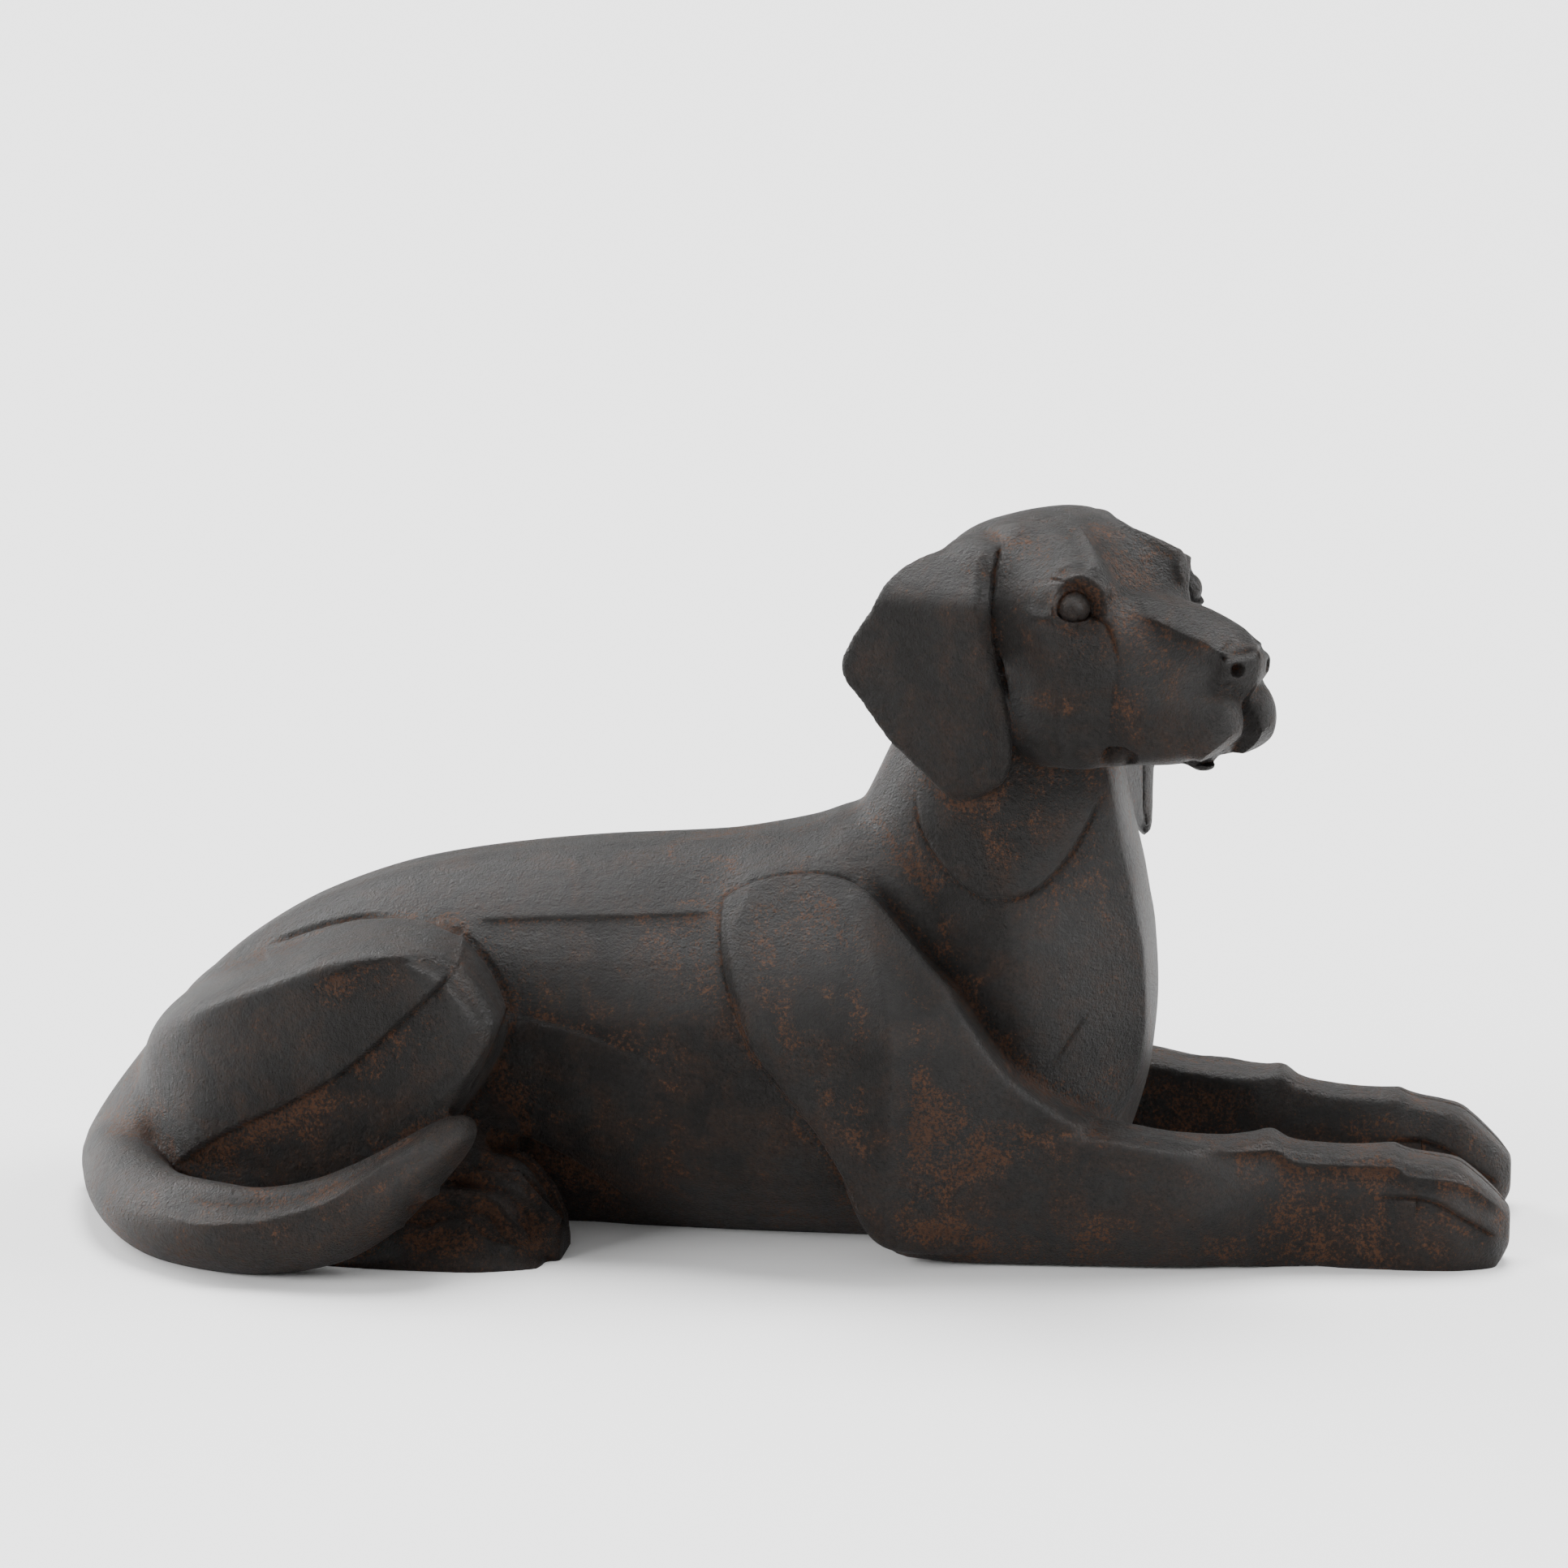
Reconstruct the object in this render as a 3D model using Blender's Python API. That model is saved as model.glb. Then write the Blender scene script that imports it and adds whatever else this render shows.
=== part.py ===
"""A lying hound, cast in one piece, for the garden or the hearth.

The dog lies on its belly with both forelegs stretched out in front, the head raised and turned
to its right, the hind legs folded, and the tail curled round the rump on the side that the head
looks to.  +X runs from the rump to the toes, +Z is up, and the head looks towards -Y.

Each mass of the figure is a simple closed shell.  A voxel remesh fuses them into one skin, the
carved lines are cut into that skin, and a decimation turns it into a light faceted solid.
All proportions are shares of the body's length: one UNIT is a 920th part of it, so at the
length given here a number in an outline reads as a millimetre.
"""
import bpy
import bmesh
import numpy as np
from math import cos, pi, radians, sin

BODY_LENGTH = 0.92
UNIT = BODY_LENGTH / 920.0
VOXEL_SIZE = 3.2 * UNIT
FACE_COUNT = 9500
RING_POINTS = 64

HEAD_YAW = radians(40.0)
HEAD_ORIGIN = np.array((219.0, -40.0, 404.0))
HEAD_FORWARD = np.array((cos(HEAD_YAW), -sin(HEAD_YAW), 0.0))
HEAD_SIDE = np.array((-sin(HEAD_YAW), -cos(HEAD_YAW), 0.0))
HEAD_UP = np.array((0.0, 0.0, 1.0))

EYE_RADIUS = 10.5
EYE_PLACE = (-2.2, 48.7, -1.0)
NOSTRIL_RADIUS = 4.2
EAR_THICKNESS = 9.0
LEDGE_EDGE = 5.0

SKIN_COLOUR = (0.040, 0.033, 0.029, 1.0)
SKIN_ROUGHNESS = 0.52
SKIN_METALLIC = 0.15


# Curves and shells

def curve_through(rows):
    """A smooth function through rows of (place, value, value, ...), level beyond both ends."""
    table = np.array(rows, float)
    place = table[:, 0]
    value = table[:, 1:]
    step = np.diff(place)[:, None]
    slope = np.diff(value, axis=0) / step
    before, after = slope[:-1], slope[1:]
    same_way = before * after > 0
    total = np.where(same_way, before + after, 1.0)
    tangent = np.zeros_like(value)
    tangent[1:-1] = np.where(same_way, 2 * before * after / total, 0.0)
    tangent[0], tangent[-1] = slope[0], slope[-1]

    def evaluate(where):
        where = np.clip(np.atleast_1d(np.asarray(where, float)), place[0], place[-1])
        left = np.clip(np.searchsorted(place, where) - 1, 0, len(step) - 1)
        span = step[left]
        t = (where - place[left])[:, None] / span
        return ((2 * t ** 3 - 3 * t ** 2 + 1) * value[left]
                + (t ** 3 - 2 * t ** 2 + t) * span * tangent[left]
                + (3 * t ** 2 - 2 * t ** 3) * value[left + 1]
                + (t ** 3 - t ** 2) * span * tangent[left + 1])
    return evaluate


def closed_spline(points, count=RING_POINTS):
    """Evenly stepped points of a smooth closed curve through the given points."""
    given = np.asarray(points, float)
    size = len(given)
    step = np.linspace(0, size, count, endpoint=False)
    index = step.astype(int)
    t = (step - index)[:, None]
    a, b = given[(index - 1) % size], given[index % size]
    c, d = given[(index + 1) % size], given[(index + 2) % size]
    return 0.5 * (2 * b + (c - a) * t + (2 * a - 5 * b + 4 * c - d) * t ** 2
                  + (3 * b - a - 3 * c + d) * t ** 3)


def both_sides(half):
    """A closed section from its half: the points from top centre to bottom centre."""
    half = list(half)
    return half + [(-side, up) for side, up in reversed(half[1:-1])]


def cornered(points, places, share):
    """Points in which each of the named places is drawn as a tight corner."""
    made = []
    for index, point in enumerate(points):
        if index in places:
            here, before, after = (np.array(points[index + step]) for step in (0, -1, 1))
            made += [here + share * (before - here), here + share * (after - here)]
        else:
            made.append(point)
    return made


def smooth_step(low, high, value):
    t = np.clip((value - low) / (high - low), 0.0, 1.0)
    return t * t * (3 - 2 * t)


def shell(rings):
    """Vertices and faces of a closed skin over a row of rings with equal counts."""
    rings = [np.asarray(ring, float) for ring in rings]
    count = len(rings[0])
    points = [point for ring in rings for point in ring]
    faces = []
    for row in range(len(rings) - 1):
        for column in range(count):
            after = (column + 1) % count
            faces.append((row * count + column, row * count + after,
                          (row + 1) * count + after, (row + 1) * count + column))
    for ring, offset, turn in ((rings[0], 0, 1), (rings[-1], (len(rings) - 1) * count, -1)):
        points.append(ring.mean(axis=0))
        centre = len(points) - 1
        for column in range(count):
            pair = (offset + (column + 1) % count, offset + column)[::turn]
            faces.append((centre,) + pair)
    return np.array(points), faces


def mirrored(part):
    points, faces = part
    return points * (1, -1, 1), faces


def blob(centre, radii, turn=0.0):
    """An ellipsoid in its parent's axes, turned by an angle about the upright one."""
    rings = []
    for latitude in np.linspace(-pi / 2 + 0.08, pi / 2 - 0.08, 17):
        angle = np.linspace(0, 2 * pi, 32, endpoint=False)
        x = radii[0] * np.cos(angle) * cos(latitude)
        y = radii[1] * np.sin(angle) * cos(latitude)
        z = np.full_like(x, radii[2] * sin(latitude))
        ring = np.stack((x * cos(turn) - y * sin(turn), x * sin(turn) + y * cos(turn), z), axis=1)
        rings.append(ring + np.array(centre))
    return shell(rings)


def pad(outline, centre, rings, face):
    """A shell over an outline: edge rings of (scale about the centre, depth function), then a face."""
    edge = closed_spline(outline, 96)
    centre = np.array(centre, float)
    built = []
    inner = [(scale, face) for scale in np.linspace(rings[-1][0] - 0.05, 0.02, 14)]
    for scale, depth in list(rings) + inner:
        flat = centre + (edge - centre) * scale
        built.append(np.stack((flat[:, 0], depth(flat[:, 0], flat[:, 1]), flat[:, 1]), axis=1))
    return shell(built)


def sweep(stations, corner=2.0, rows=60):
    """A bar along (x, y, z, half width, half height) stations with a superellipse section."""
    table = np.array(stations, float)
    path = curve_through([(index, *row) for index, row in enumerate(table)])
    rings = []
    angle = np.linspace(0, 2 * pi, RING_POINTS, endpoint=False)
    across = np.sign(np.cos(angle)) * np.abs(np.cos(angle)) ** (2 / corner)
    upward = np.sign(np.sin(angle)) * np.abs(np.sin(angle)) ** (2 / corner)
    for t in np.linspace(0, len(table) - 1, rows):
        x, y, z, wide, high = path(t)[0]
        ahead = path(min(t + 0.05, len(table) - 1))[0][:3] - path(max(t - 0.05, 0))[0][:3]
        ahead /= np.linalg.norm(ahead)
        side = np.cross(ahead, (0, 0, 1))
        side /= np.linalg.norm(side)
        over = np.cross(side, ahead)
        rings.append(np.array((x, y, z)) + np.outer(across * wide, side)
                     + np.outer(upward * high, over))
    return shell(rings)


def in_head(part):
    """Moves a part from the head's own axes (forward, side, up) into the body's."""
    points, faces = part
    axes = np.array((HEAD_FORWARD, HEAD_SIDE, HEAD_UP))
    return points @ axes + HEAD_ORIGIN, faces


# The masses of the body

def trunk():
    table = curve_through((
        # x, spine, back corner (y, z), widest (y, z), belly corner (y, z), sole half width
        (-452, 34, 14, 30, 24, 22, 20, 10, 10),
        (-440, 54, 26, 44, 44, 30, 40, 10, 24),
        (-415, 88, 38, 74, 66, 42, 56, 12, 40),
        (-380, 132, 48, 112, 80, 58, 72, 16, 50),
        (-340, 167, 56, 140, 90, 76, 80, 22, 54),
        (-290, 196, 60, 168, 96, 90, 82, 30, 54),
        (-230, 217, 66, 187, 99, 102, 80, 38, 52),
        (-170, 228, 70, 197, 101, 112, 82, 46, 50),
        (-110, 235, 72, 203, 107, 116, 92, 48, 50),
        (-55, 239, 73, 205, 112, 120, 99, 46, 50),
        (-34, 241, 73, 208, 114, 120, 101, 44, 50),
        (-10, 245, 71, 222, 115, 120, 101, 42, 50),
        (20, 252, 68, 230, 115, 120, 100, 42, 50),
        (50, 262, 67, 236, 112, 120, 96, 42, 50),
        (110, 262, 64, 232, 100, 120, 84, 42, 50),
    ))
    rings = []
    for x in np.linspace(-452, 110, 70):
        spine, back_y, back_z, wide, wide_z, low_y, low_z, sole = table(x)[0]
        half = ((0, spine), (back_y * 0.42, spine * 0.88 + back_z * 0.12), (back_y, back_z),
                (0.25 * back_y + 0.75 * wide, 0.5 * back_z + 0.5 * wide_z), (wide, wide_z),
                (low_y, low_z), (sole, -5), (0, -5))
        ring = closed_spline(both_sides(half))
        rings.append(np.insert(ring, 0, x, axis=1))
    return shell(rings)


def neck_and_chest():
    table = curve_through((
        # z, rear x, front x, half width, side x, front corner x, front corner y, offset y
        (-5, 92, 190, 54, 150, 178, 28, 0),
        (14, 88, 198, 62, 150, 184, 30, 0),
        (45, 80, 214, 82, 150, 200, 38, 0),
        (75, 70, 225, 92, 150, 214, 44, 0),
        (105, 60, 232, 96, 150, 226, 48, 0),
        (145, 55, 235, 97, 146, 231, 50, 0),
        (185, 50, 232, 93, 142, 229, 50, 0),
        (205, 48, 229, 87, 139, 225, 50, 0),
        (225, 46, 226, 79, 136, 221, 48, 0),
        (255, 48, 219, 70, 132, 214, 45, 0),
        (285, 60, 213, 64, 134, 208, 41, 0),
        (315, 74, 208, 60, 140, 202, 36, 2),
        (345, 86, 206, 57, 146, 198, 32, 6),
        (385, 98, 205, 54, 152, 196, 30, 10),
    ))
    rings = []
    for z in np.linspace(-5, 385, 52):
        rear, front, wide, side_x, corner_x, corner_y, shift = table(z)[0]
        half = ((0, front), (corner_y * 0.6, front - 0.3 * (front - corner_x)),
                (corner_y - 3, corner_x + 0.5), (corner_y + 2, corner_x - 4),
                (0.25 * corner_y + 0.75 * wide, 0.45 * corner_x + 0.55 * side_x),
                (wide, side_x), (wide * 0.8, 0.42 * side_x + 0.58 * rear), (wide * 0.38, rear + 4),
                (0, rear))
        loop = closed_spline(both_sides(half))
        rings.append(np.stack((loop[:, 1], loop[:, 0] + shift, np.full(len(loop), z)), axis=1))
    return shell(rings)


def shoulder():
    outline = ((-24, 194), (-22, 208), (-15, 219), (-2, 227), (16, 231), (36, 232), (54, 228),
               (70, 220), (87, 206), (104, 189), (124, 165), (145, 135), (162, 116), (190, 96),
               (206, 82), (190, 40), (150, 12), (100, 8), (74, 16), (60, 38), (50, 66),
               (34, 88), (15, 113), (-2, 134), (-14, 164))
    ridge = curve_through(((20, 78), (86, 84), (147, 82), (205, 68), (240, 56)))

    def face(x, z):
        past = x - ridge(z)[:, 0]
        out = 139 - 0.155 * np.maximum(-past, 0) - 0.19 * np.maximum(past, 0)
        return -(out - 0.0052 * np.maximum(z - 118, 0) ** 2 - 0.10 * np.maximum(60 - z, 0))

    def inset(depth):
        return lambda x, z: face(x, z) + depth
    return pad(outline, (80, 120), ((1.0, inset(60)), (1.0, inset(20)), (0.99, inset(4)),
                                    (0.97, inset(0.6))), face)


def foreleg():
    table = curve_through((
        # x, centre y, top z, band half width, outer half width, bottom half width, bottom z
        (64, -104, 44, 18, 24, 10, 24),
        (74, -104, 58, 20, 28, 12, 14),
        (90, -104, 70, 22, 30, 14, 8),
        (130, -102, 86, 23, 30, 14, 6),
        (205, -98, 88, 22, 28, 13, 6),
        (255, -94, 81, 22, 26, 13, 6),
        (282, -88, 79, 20, 25, 13, 6),
        (300, -81, 80, 17, 24, 18, 4),
        (310, -77, 82, 15, 23, 18, 3),
        (322, -74, 75, 14, 22, 18, 2),
        (340, -71, 71, 15, 22, 18, 1),
        (362, -68, 70, 15, 23, 20, -2),
        (386, -65, 71, 15, 25, 22, -4),
        (392, -65, 68, 16, 26, 22, -4),
        (424, -62, 62, 17, 26, 22, -5),
        (430, -61, 58, 17, 25, 21, -5),
        (448, -59, 42, 15, 20, 15, -2),
        (457, -58, 32, 8, 11, 7, 12),
    ))
    rings = []
    for x in np.linspace(64, 457, 90):
        centre, top, band, wide, sole, bottom = table(x)[0]
        middle = 0.6 * top + 0.4 * bottom
        low = 0.62 * bottom + 0.38 * top
        half = ((0, top + 1), (band * 0.75, top + 0.6), (band - 1, top - 0.2),
                (band + 1, top - 3), (0.3 * band + 0.7 * wide, 0.4 * top + 0.6 * middle),
                (wide, middle), (wide * 0.97, low), (sole, bottom + 1), (sole * 0.5, bottom),
                (0, bottom))
        loop = closed_spline(both_sides(half))
        rings.append(np.stack((np.full(len(loop), x), loop[:, 0] + centre, loop[:, 1]), axis=1))
    return shell(rings)


def haunch():
    outline = ((-300, 176), (-268, 190), (-236, 198), (-208, 198), (-182, 191), (-163, 176),
               (-149, 152), (-152, 128), (-168, 98), (-196, 64), (-240, 38), (-300, 22),
               (-356, 22), (-396, 40), (-408, 80), (-394, 120), (-352, 150))
    bulge = curve_through(((-412, 48), (-390, 82), (-350, 120), (-295, 142), (-240, 154),
                           (-185, 159), (-150, 152)))
    seat = curve_through(((-400, 30), (-300, 52), (-235, 60), (-190, 66), (-160, 92), (-148, 98)))

    def face(x, z):
        out = bulge(x)[:, 0]
        return -(out - 0.16 * np.maximum(z - 110, 0) - 0.06 * np.maximum(90 - z, 0))

    def between(share):
        return lambda x, z: face(x, z) * share - seat(x)[:, 0] * (1 - share)
    return pad(outline, (-262, 118), ((1.0, between(-0.3)), (1.0, between(0)),
                                      (0.99, between(0.45)), (0.965, between(0.80)),
                                      (0.925, between(0.96)), (0.89, face)), face)


def tail():
    return sweep((
        (-384, 44, 48, 24, 24), (-408, 16, 37, 27, 25), (-420, -26, 29, 28, 26),
        (-408, -74, 26, 28, 27), (-390, -118, 25, 28, 28), (-364, -154, 24, 28, 28),
        (-330, -177, 25, 28, 28), (-296, -188, 26, 27, 27), (-258, -189, 33, 26, 27),
        (-226, -186, 50, 24, 25), (-200, -179, 71, 21, 21), (-180, -171, 88, 16, 16),
        (-166, -163, 97, 12, 12), (-158, -158, 102, 8, 8), (-155, -156, 103, 4, 4)),
        corner=1.75)


def toe(stations, side):
    """A hind toe: a tent-shaped bar under a ridge of (x, y, z) points."""
    path = curve_through([(row[0], row[1], row[2]) for row in stations])
    rings = []
    for x in np.linspace(stations[0][0], stations[-1][0], 30):
        y, z = path(x)[0]
        section = ((-2.5, z), (2.5, z), (0.5 * side + 1, 0.62 * z), (side, 0.2 * z), (side - 3, -5),
                   (3 - side, -5), (-side, 0.2 * z), (-0.5 * side - 1, 0.62 * z))
        loop = closed_spline(section)
        rings.append(np.stack((np.full(len(loop), x), loop[:, 0] + y, loop[:, 1]), axis=1))
    return shell(rings)


def hind_foot():
    """The folded shank behind the tail's tip, and the toes that come out from under it."""
    return [
        blob((-222, -122, 52), (62, 30, 50)),
        blob((-178, -112, 80), (34, 32, 40)),
        blob((-158, -120, 30), (32, 32, 34)),
        toe(((-258, -150, 8), (-235, -152, 18), (-205, -153, 27), (-165, -152, 25),
             (-135, -144, 15), (-120, -138, 6)), 19),
        toe(((-225, -146, 36), (-204, -148, 45), (-179, -148, 48), (-155, -146, 47),
             (-132, -140, 20), (-120, -136, 12)), 15),
        toe(((-205, -130, 50), (-170, -131, 59), (-140, -130, 60), (-118, -126, 34),
             (-113, -125, 20)), 15),
        toe(((-180, -114, 55), (-144, -114, 64), (-120, -112, 44), (-114, -112, 24)), 13),
    ]


# The head, in its own axes

def skull():
    table = curve_through((
        # forward, crown, furrow foot (r, u), crest (r, u), outer edge (r, u), temple (r, u),
        # side (r, u), cheek (r, u), jaw (r, u), under
        (-146, 6, 4, 6, 6, 5, 8, 4, 10, 1, 14, -12, 12, -30, 6, -42, -45),
        (-133, 25, 10, 24.5, 15, 23.5, 21, 21, 27, 16, 46, -10, 39, -50, 22, -78, -82),
        (-100, 40, 12, 39.6, 20, 38.5, 30, 36, 41, 30, 64, -5, 57, -55, 38, -94, -98),
        (-62, 48, 10, 47.8, 18, 47, 28, 45, 43, 38, 66, -4, 62, -58, 46, -101, -104),
        (-45, 45, 6, 45, 11, 45.3, 18, 43.8, 38, 35.5, 65, 2, 62, -55, 48, -101, -104),
        (-32, 39, 4, 38.8, 12, 40.3, 17, 39, 38, 32, 63.5, 4, 61, -52, 49, -100, -103),
        (-23, 33.5, 6, 33.8, 17.5, 37, 22.5, 35.4, 41, 29.5, 62.5, 4, 61, -50, 49, -99, -103),
        (-16, 28, 8, 28.6, 21.5, 34.4, 28, 32.6, 45, 26.5, 62, 4, 60.5, -50, 50, -98, -102),
        (-10, 22.5, 10, 23.2, 25.2, 32, 33, 29.3, 48, 23.5, 61, 3, 60, -49, 50, -98, -102),
        (-4, 17, 12, 17.6, 29, 29.4, 38, 26, 51, 20.5, 59, 2, 59, -48, 50, -97, -101),
        (1, 12, 14, 12.6, 32, 27, 41, 23, 51, 18.5, 55.5, 0, 57.5, -47, 49, -96, -101),
        (5.5, 8.5, 16.5, 8.8, 34, 25, 42.5, 21, 48, 16, 48.5, -3, 56, -47, 48, -94, -101),
        (8.5, 6.5, 19, 6.8, 28.5, 11, 38, 16, 45, 14, 45, -6, 54, -48, 47.5, -92, -100),
        (12, 5, 18, 5, 24.5, 3.2, 32, 8, 39, 4, 42.5, -11, 52, -49, 46, -90, -99.5),
        (17, 4.5, 12, 4, 19, 1.2, 25.5, -2.5, 32, -7, 39, -18, 49.5, -51, 44, -88, -98.5),
        (26, 4, 11, 3, 17, -0.2, 22.3, -4.7, 26, -10, 35, -23, 45, -55, 40, -86, -97),
        (37, 3, 10, 1.7, 15.5, -2.2, 20.3, -7.2, 22.8, -12.5, 32, -28, 42, -58, 38, -84.5, -95.5),
        (50, 2, 9, 0.5, 14.5, -4.4, 19.3, -10.4, 21, -16, 30, -33, 39.5, -61, 36, -83.5, -93.5),
        (62, 0, 9, -1.8, 14, -7.2, 18.6, -13.6, 20.5, -20, 30, -38, 38, -62, 33.5, -82, -90.5),
        (75, -3.5, 9, -5.3, 14, -10.6, 18.2, -16.9, 20, -23.5, 28.5, -40, 35, -62, 29, -80, -86),
        (86, -7, 9, -9.2, 14, -14.2, 18, -19.6, 19.5, -26.5, 24.5, -42, 29.5, -62, 24, -77, -80),
        (94, -12, 6, -14, 10, -18, 13, -23, 14, -29, 14, -42, 16, -58, 12, -66, -68),
    ))
    rings = []
    for forward in np.linspace(-146, 94, 120):
        crown, *pairs, under = table(forward)[0]
        half = [(0, crown)] + list(zip(pairs[::2], pairs[1::2]))
        half += [(half[-1][0] * 0.6, under), (0, under)]
        loop = closed_spline(both_sides(cornered(half, (2, 3), 0.22)), 144)
        rings.append(np.insert(loop, 0, forward, axis=1))
    return shell(rings)


def nose():
    """The pad of the nose in plan outlines, one above the other: wings, and a ridge in front."""
    table = curve_through((
        # up, half width behind, wing (f, r), front of the wing (f, r), flank (f, r), tip
        (-50, 6, 89, 5, 93, 4, 95, 2, 96),
        (-45, 10, 90, 9, 94, 7.5, 98, 4, 100.5),
        (-40, 15, 90, 15, 95, 13, 100, 6, 103.5),
        (-37, 18, 89, 19, 96, 17, 101, 8.5, 104.5),
        (-32, 18.5, 88, 20, 97.5, 18.5, 102.5, 9, 106),
        (-26, 18.5, 90, 19.8, 98, 18.5, 103.5, 9, 107),
        (-20.5, 18, 91, 19.5, 96.5, 17, 103, 8, 107),
        (-18.8, 17, 90.5, 16, 95.5, 13, 102.5, 7, 106.5),
        (-17, 14, 90, 11, 94, 8.5, 101.5, 5.2, 105.5),
        (-15, 10, 88, 7, 92, 5, 98, 3.2, 102),
    ))
    rings = []
    for up in np.linspace(-50, -15, 36):
        behind, wing_f, wing_r, front_f, front_r, flank_f, flank_r, tip = table(up)[0]
        half = ((60, 0), (62, behind), (wing_f, wing_r), (front_f, front_r), (flank_f, flank_r),
                (tip - 0.6, 1.6), (tip, 0))
        loop = closed_spline([*half, *((forward, -side) for forward, side in half[-2:0:-1])])
        rings.append(np.insert(loop, 2, up, axis=1))
    return shell(rings)


def eye_rim(side, radius, thickness, lift):
    """The lid around an eyeball: a ring that faces forward and outward."""
    facing = np.array((0.70, 0.70 * side, 0.10))
    facing /= np.linalg.norm(facing)
    across = np.cross(facing, (0, 0, 1))
    across /= np.linalg.norm(across)
    over = np.cross(across, facing)
    centre = np.array((EYE_PLACE[0], side * EYE_PLACE[1], EYE_PLACE[2])) + facing * lift
    points = []
    faces = []
    around, about = 36, 12
    for i in range(around):
        angle = 2 * pi * i / around
        outward = across * cos(angle) * 1.12 + over * sin(angle) * 0.96
        for j in range(about):
            turn = 2 * pi * j / about
            points.append(centre + outward * (radius + thickness * cos(turn))
                          + facing * thickness * sin(turn))
            faces.append((i * about + j, ((i + 1) % around) * about + j,
                          ((i + 1) % around) * about + (j + 1) % about, i * about + (j + 1) % about))
    return np.array(points), faces


def ear(outline, ridge, centre, side):
    """A flap that hangs from the skull, flares away behind and has a bevel along its front."""
    front = curve_through(ridge)

    def face(forward, up):
        flare = 0.40 * np.maximum(-43 - forward, 0)
        bevel = 2.0 * np.maximum(forward - front(up)[:, 0], 0)
        tuck = 0.026 * np.maximum(up + 10, 0) ** 2
        return side * (77 + flare - np.minimum(bevel, 9) - tuck + 0.02 * np.maximum(-up, 0))

    def inset(depth):
        return lambda forward, up: face(forward, up) - side * depth
    inner = [(scale, inset(EAR_THICKNESS)) for scale in np.linspace(0.02, 0.94, 12)]
    return pad(outline, centre, (*inner, (0.99, inset(EAR_THICKNESS - 3)), (1.0, inset(3.5)),
                                 (0.985, inset(1)), (0.96, face)), face)


def head():
    near_ear = ((-69, 29), (-65, 20), (-57, 9), (-51.5, 0), (-48, -12), (-46.5, -24), (-42, -44),
                (-36, -56), (-31.5, -69), (-28.5, -80), (-28, -90), (-28.5, -99), (-32, -108),
                (-38, -114), (-51, -120), (-66, -124), (-82, -113), (-97, -101), (-108, -91),
                (-118, -78), (-128, -65), (-135, -57), (-138, -45), (-129, -25), (-119, -9),
                (-115, 7), (-109, 22), (-100, 27), (-93, 32), (-84, 35), (-75, 34))
    near_ridge = ((-140, -20), (-56, -34), (-44, -43), (-24, -49.5), (-12, -52), (0, -56),
                  (9, -61.5), (20, -69), (40, -80))
    far_ear = ((-67, 26), (-50, 8), (-43, -20), (-48, -70), (-57, -120), (-61, -155), (-65, -168),
               (-73, -174), (-84, -165), (-107, -120), (-128, -70), (-138, -44), (-117, -6),
               (-107, 22), (-90, 32), (-76, 32))
    far_ridge = ((-180, -66), (-120, -62), (-70, -53), (-20, -49), (8, -57), (40, -80))
    parts = [skull(), nose(), blob((55, 0, -84), (27, 15, 12)), blob((61, 0, -92), (10, 9, 6.5)),
             ear(near_ear, near_ridge, (-78, -42), 1), ear(far_ear, far_ridge, (-82, -50), -1)]
    for side in (1, -1):
        parts.append(blob((EYE_PLACE[0], side * EYE_PLACE[1], EYE_PLACE[2]), (EYE_RADIUS,) * 3))
        parts.append(eye_rim(side, EYE_RADIUS + 1.5, 2.6, 3.0))
        parts.append(blob((76, side * 15.5, -63), (27, 18, 25.5), side * -0.08))
        parts.append(blob((-84, side * 50, 14), (30, 20, 20), side * 0.2))
    return [in_head(part) for part in parts]


# Fusing and carving

def fuse(parts, voxel, name):
    """Joins closed shells and remeshes them into one skin."""
    mesh = bpy.data.meshes.new(name)
    points = []
    faces = []
    for part_points, part_faces in parts:
        offset = sum(len(block) for block in points)
        points.append(part_points)
        faces.extend(tuple(offset + index for index in face) for face in part_faces)
    mesh.from_pydata((np.concatenate(points) * UNIT).tolist(), [], faces)
    body = bpy.data.objects.new(name, mesh)
    bpy.context.scene.collection.objects.link(body)
    remesh = body.modifiers.new("Fuse", "REMESH")
    remesh.mode = "VOXEL"
    remesh.voxel_size = voxel
    remesh.adaptivity = 0.0
    apply_modifiers(body)
    keep_largest(body)
    return body


def apply_modifiers(body):
    """Replaces an object's mesh by what its modifiers make of it."""
    depsgraph = bpy.context.evaluated_depsgraph_get()
    result = bpy.data.meshes.new_from_object(body.evaluated_get(depsgraph))
    old = body.data
    body.modifiers.clear()
    body.data = result
    bpy.data.meshes.remove(old)


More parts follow.
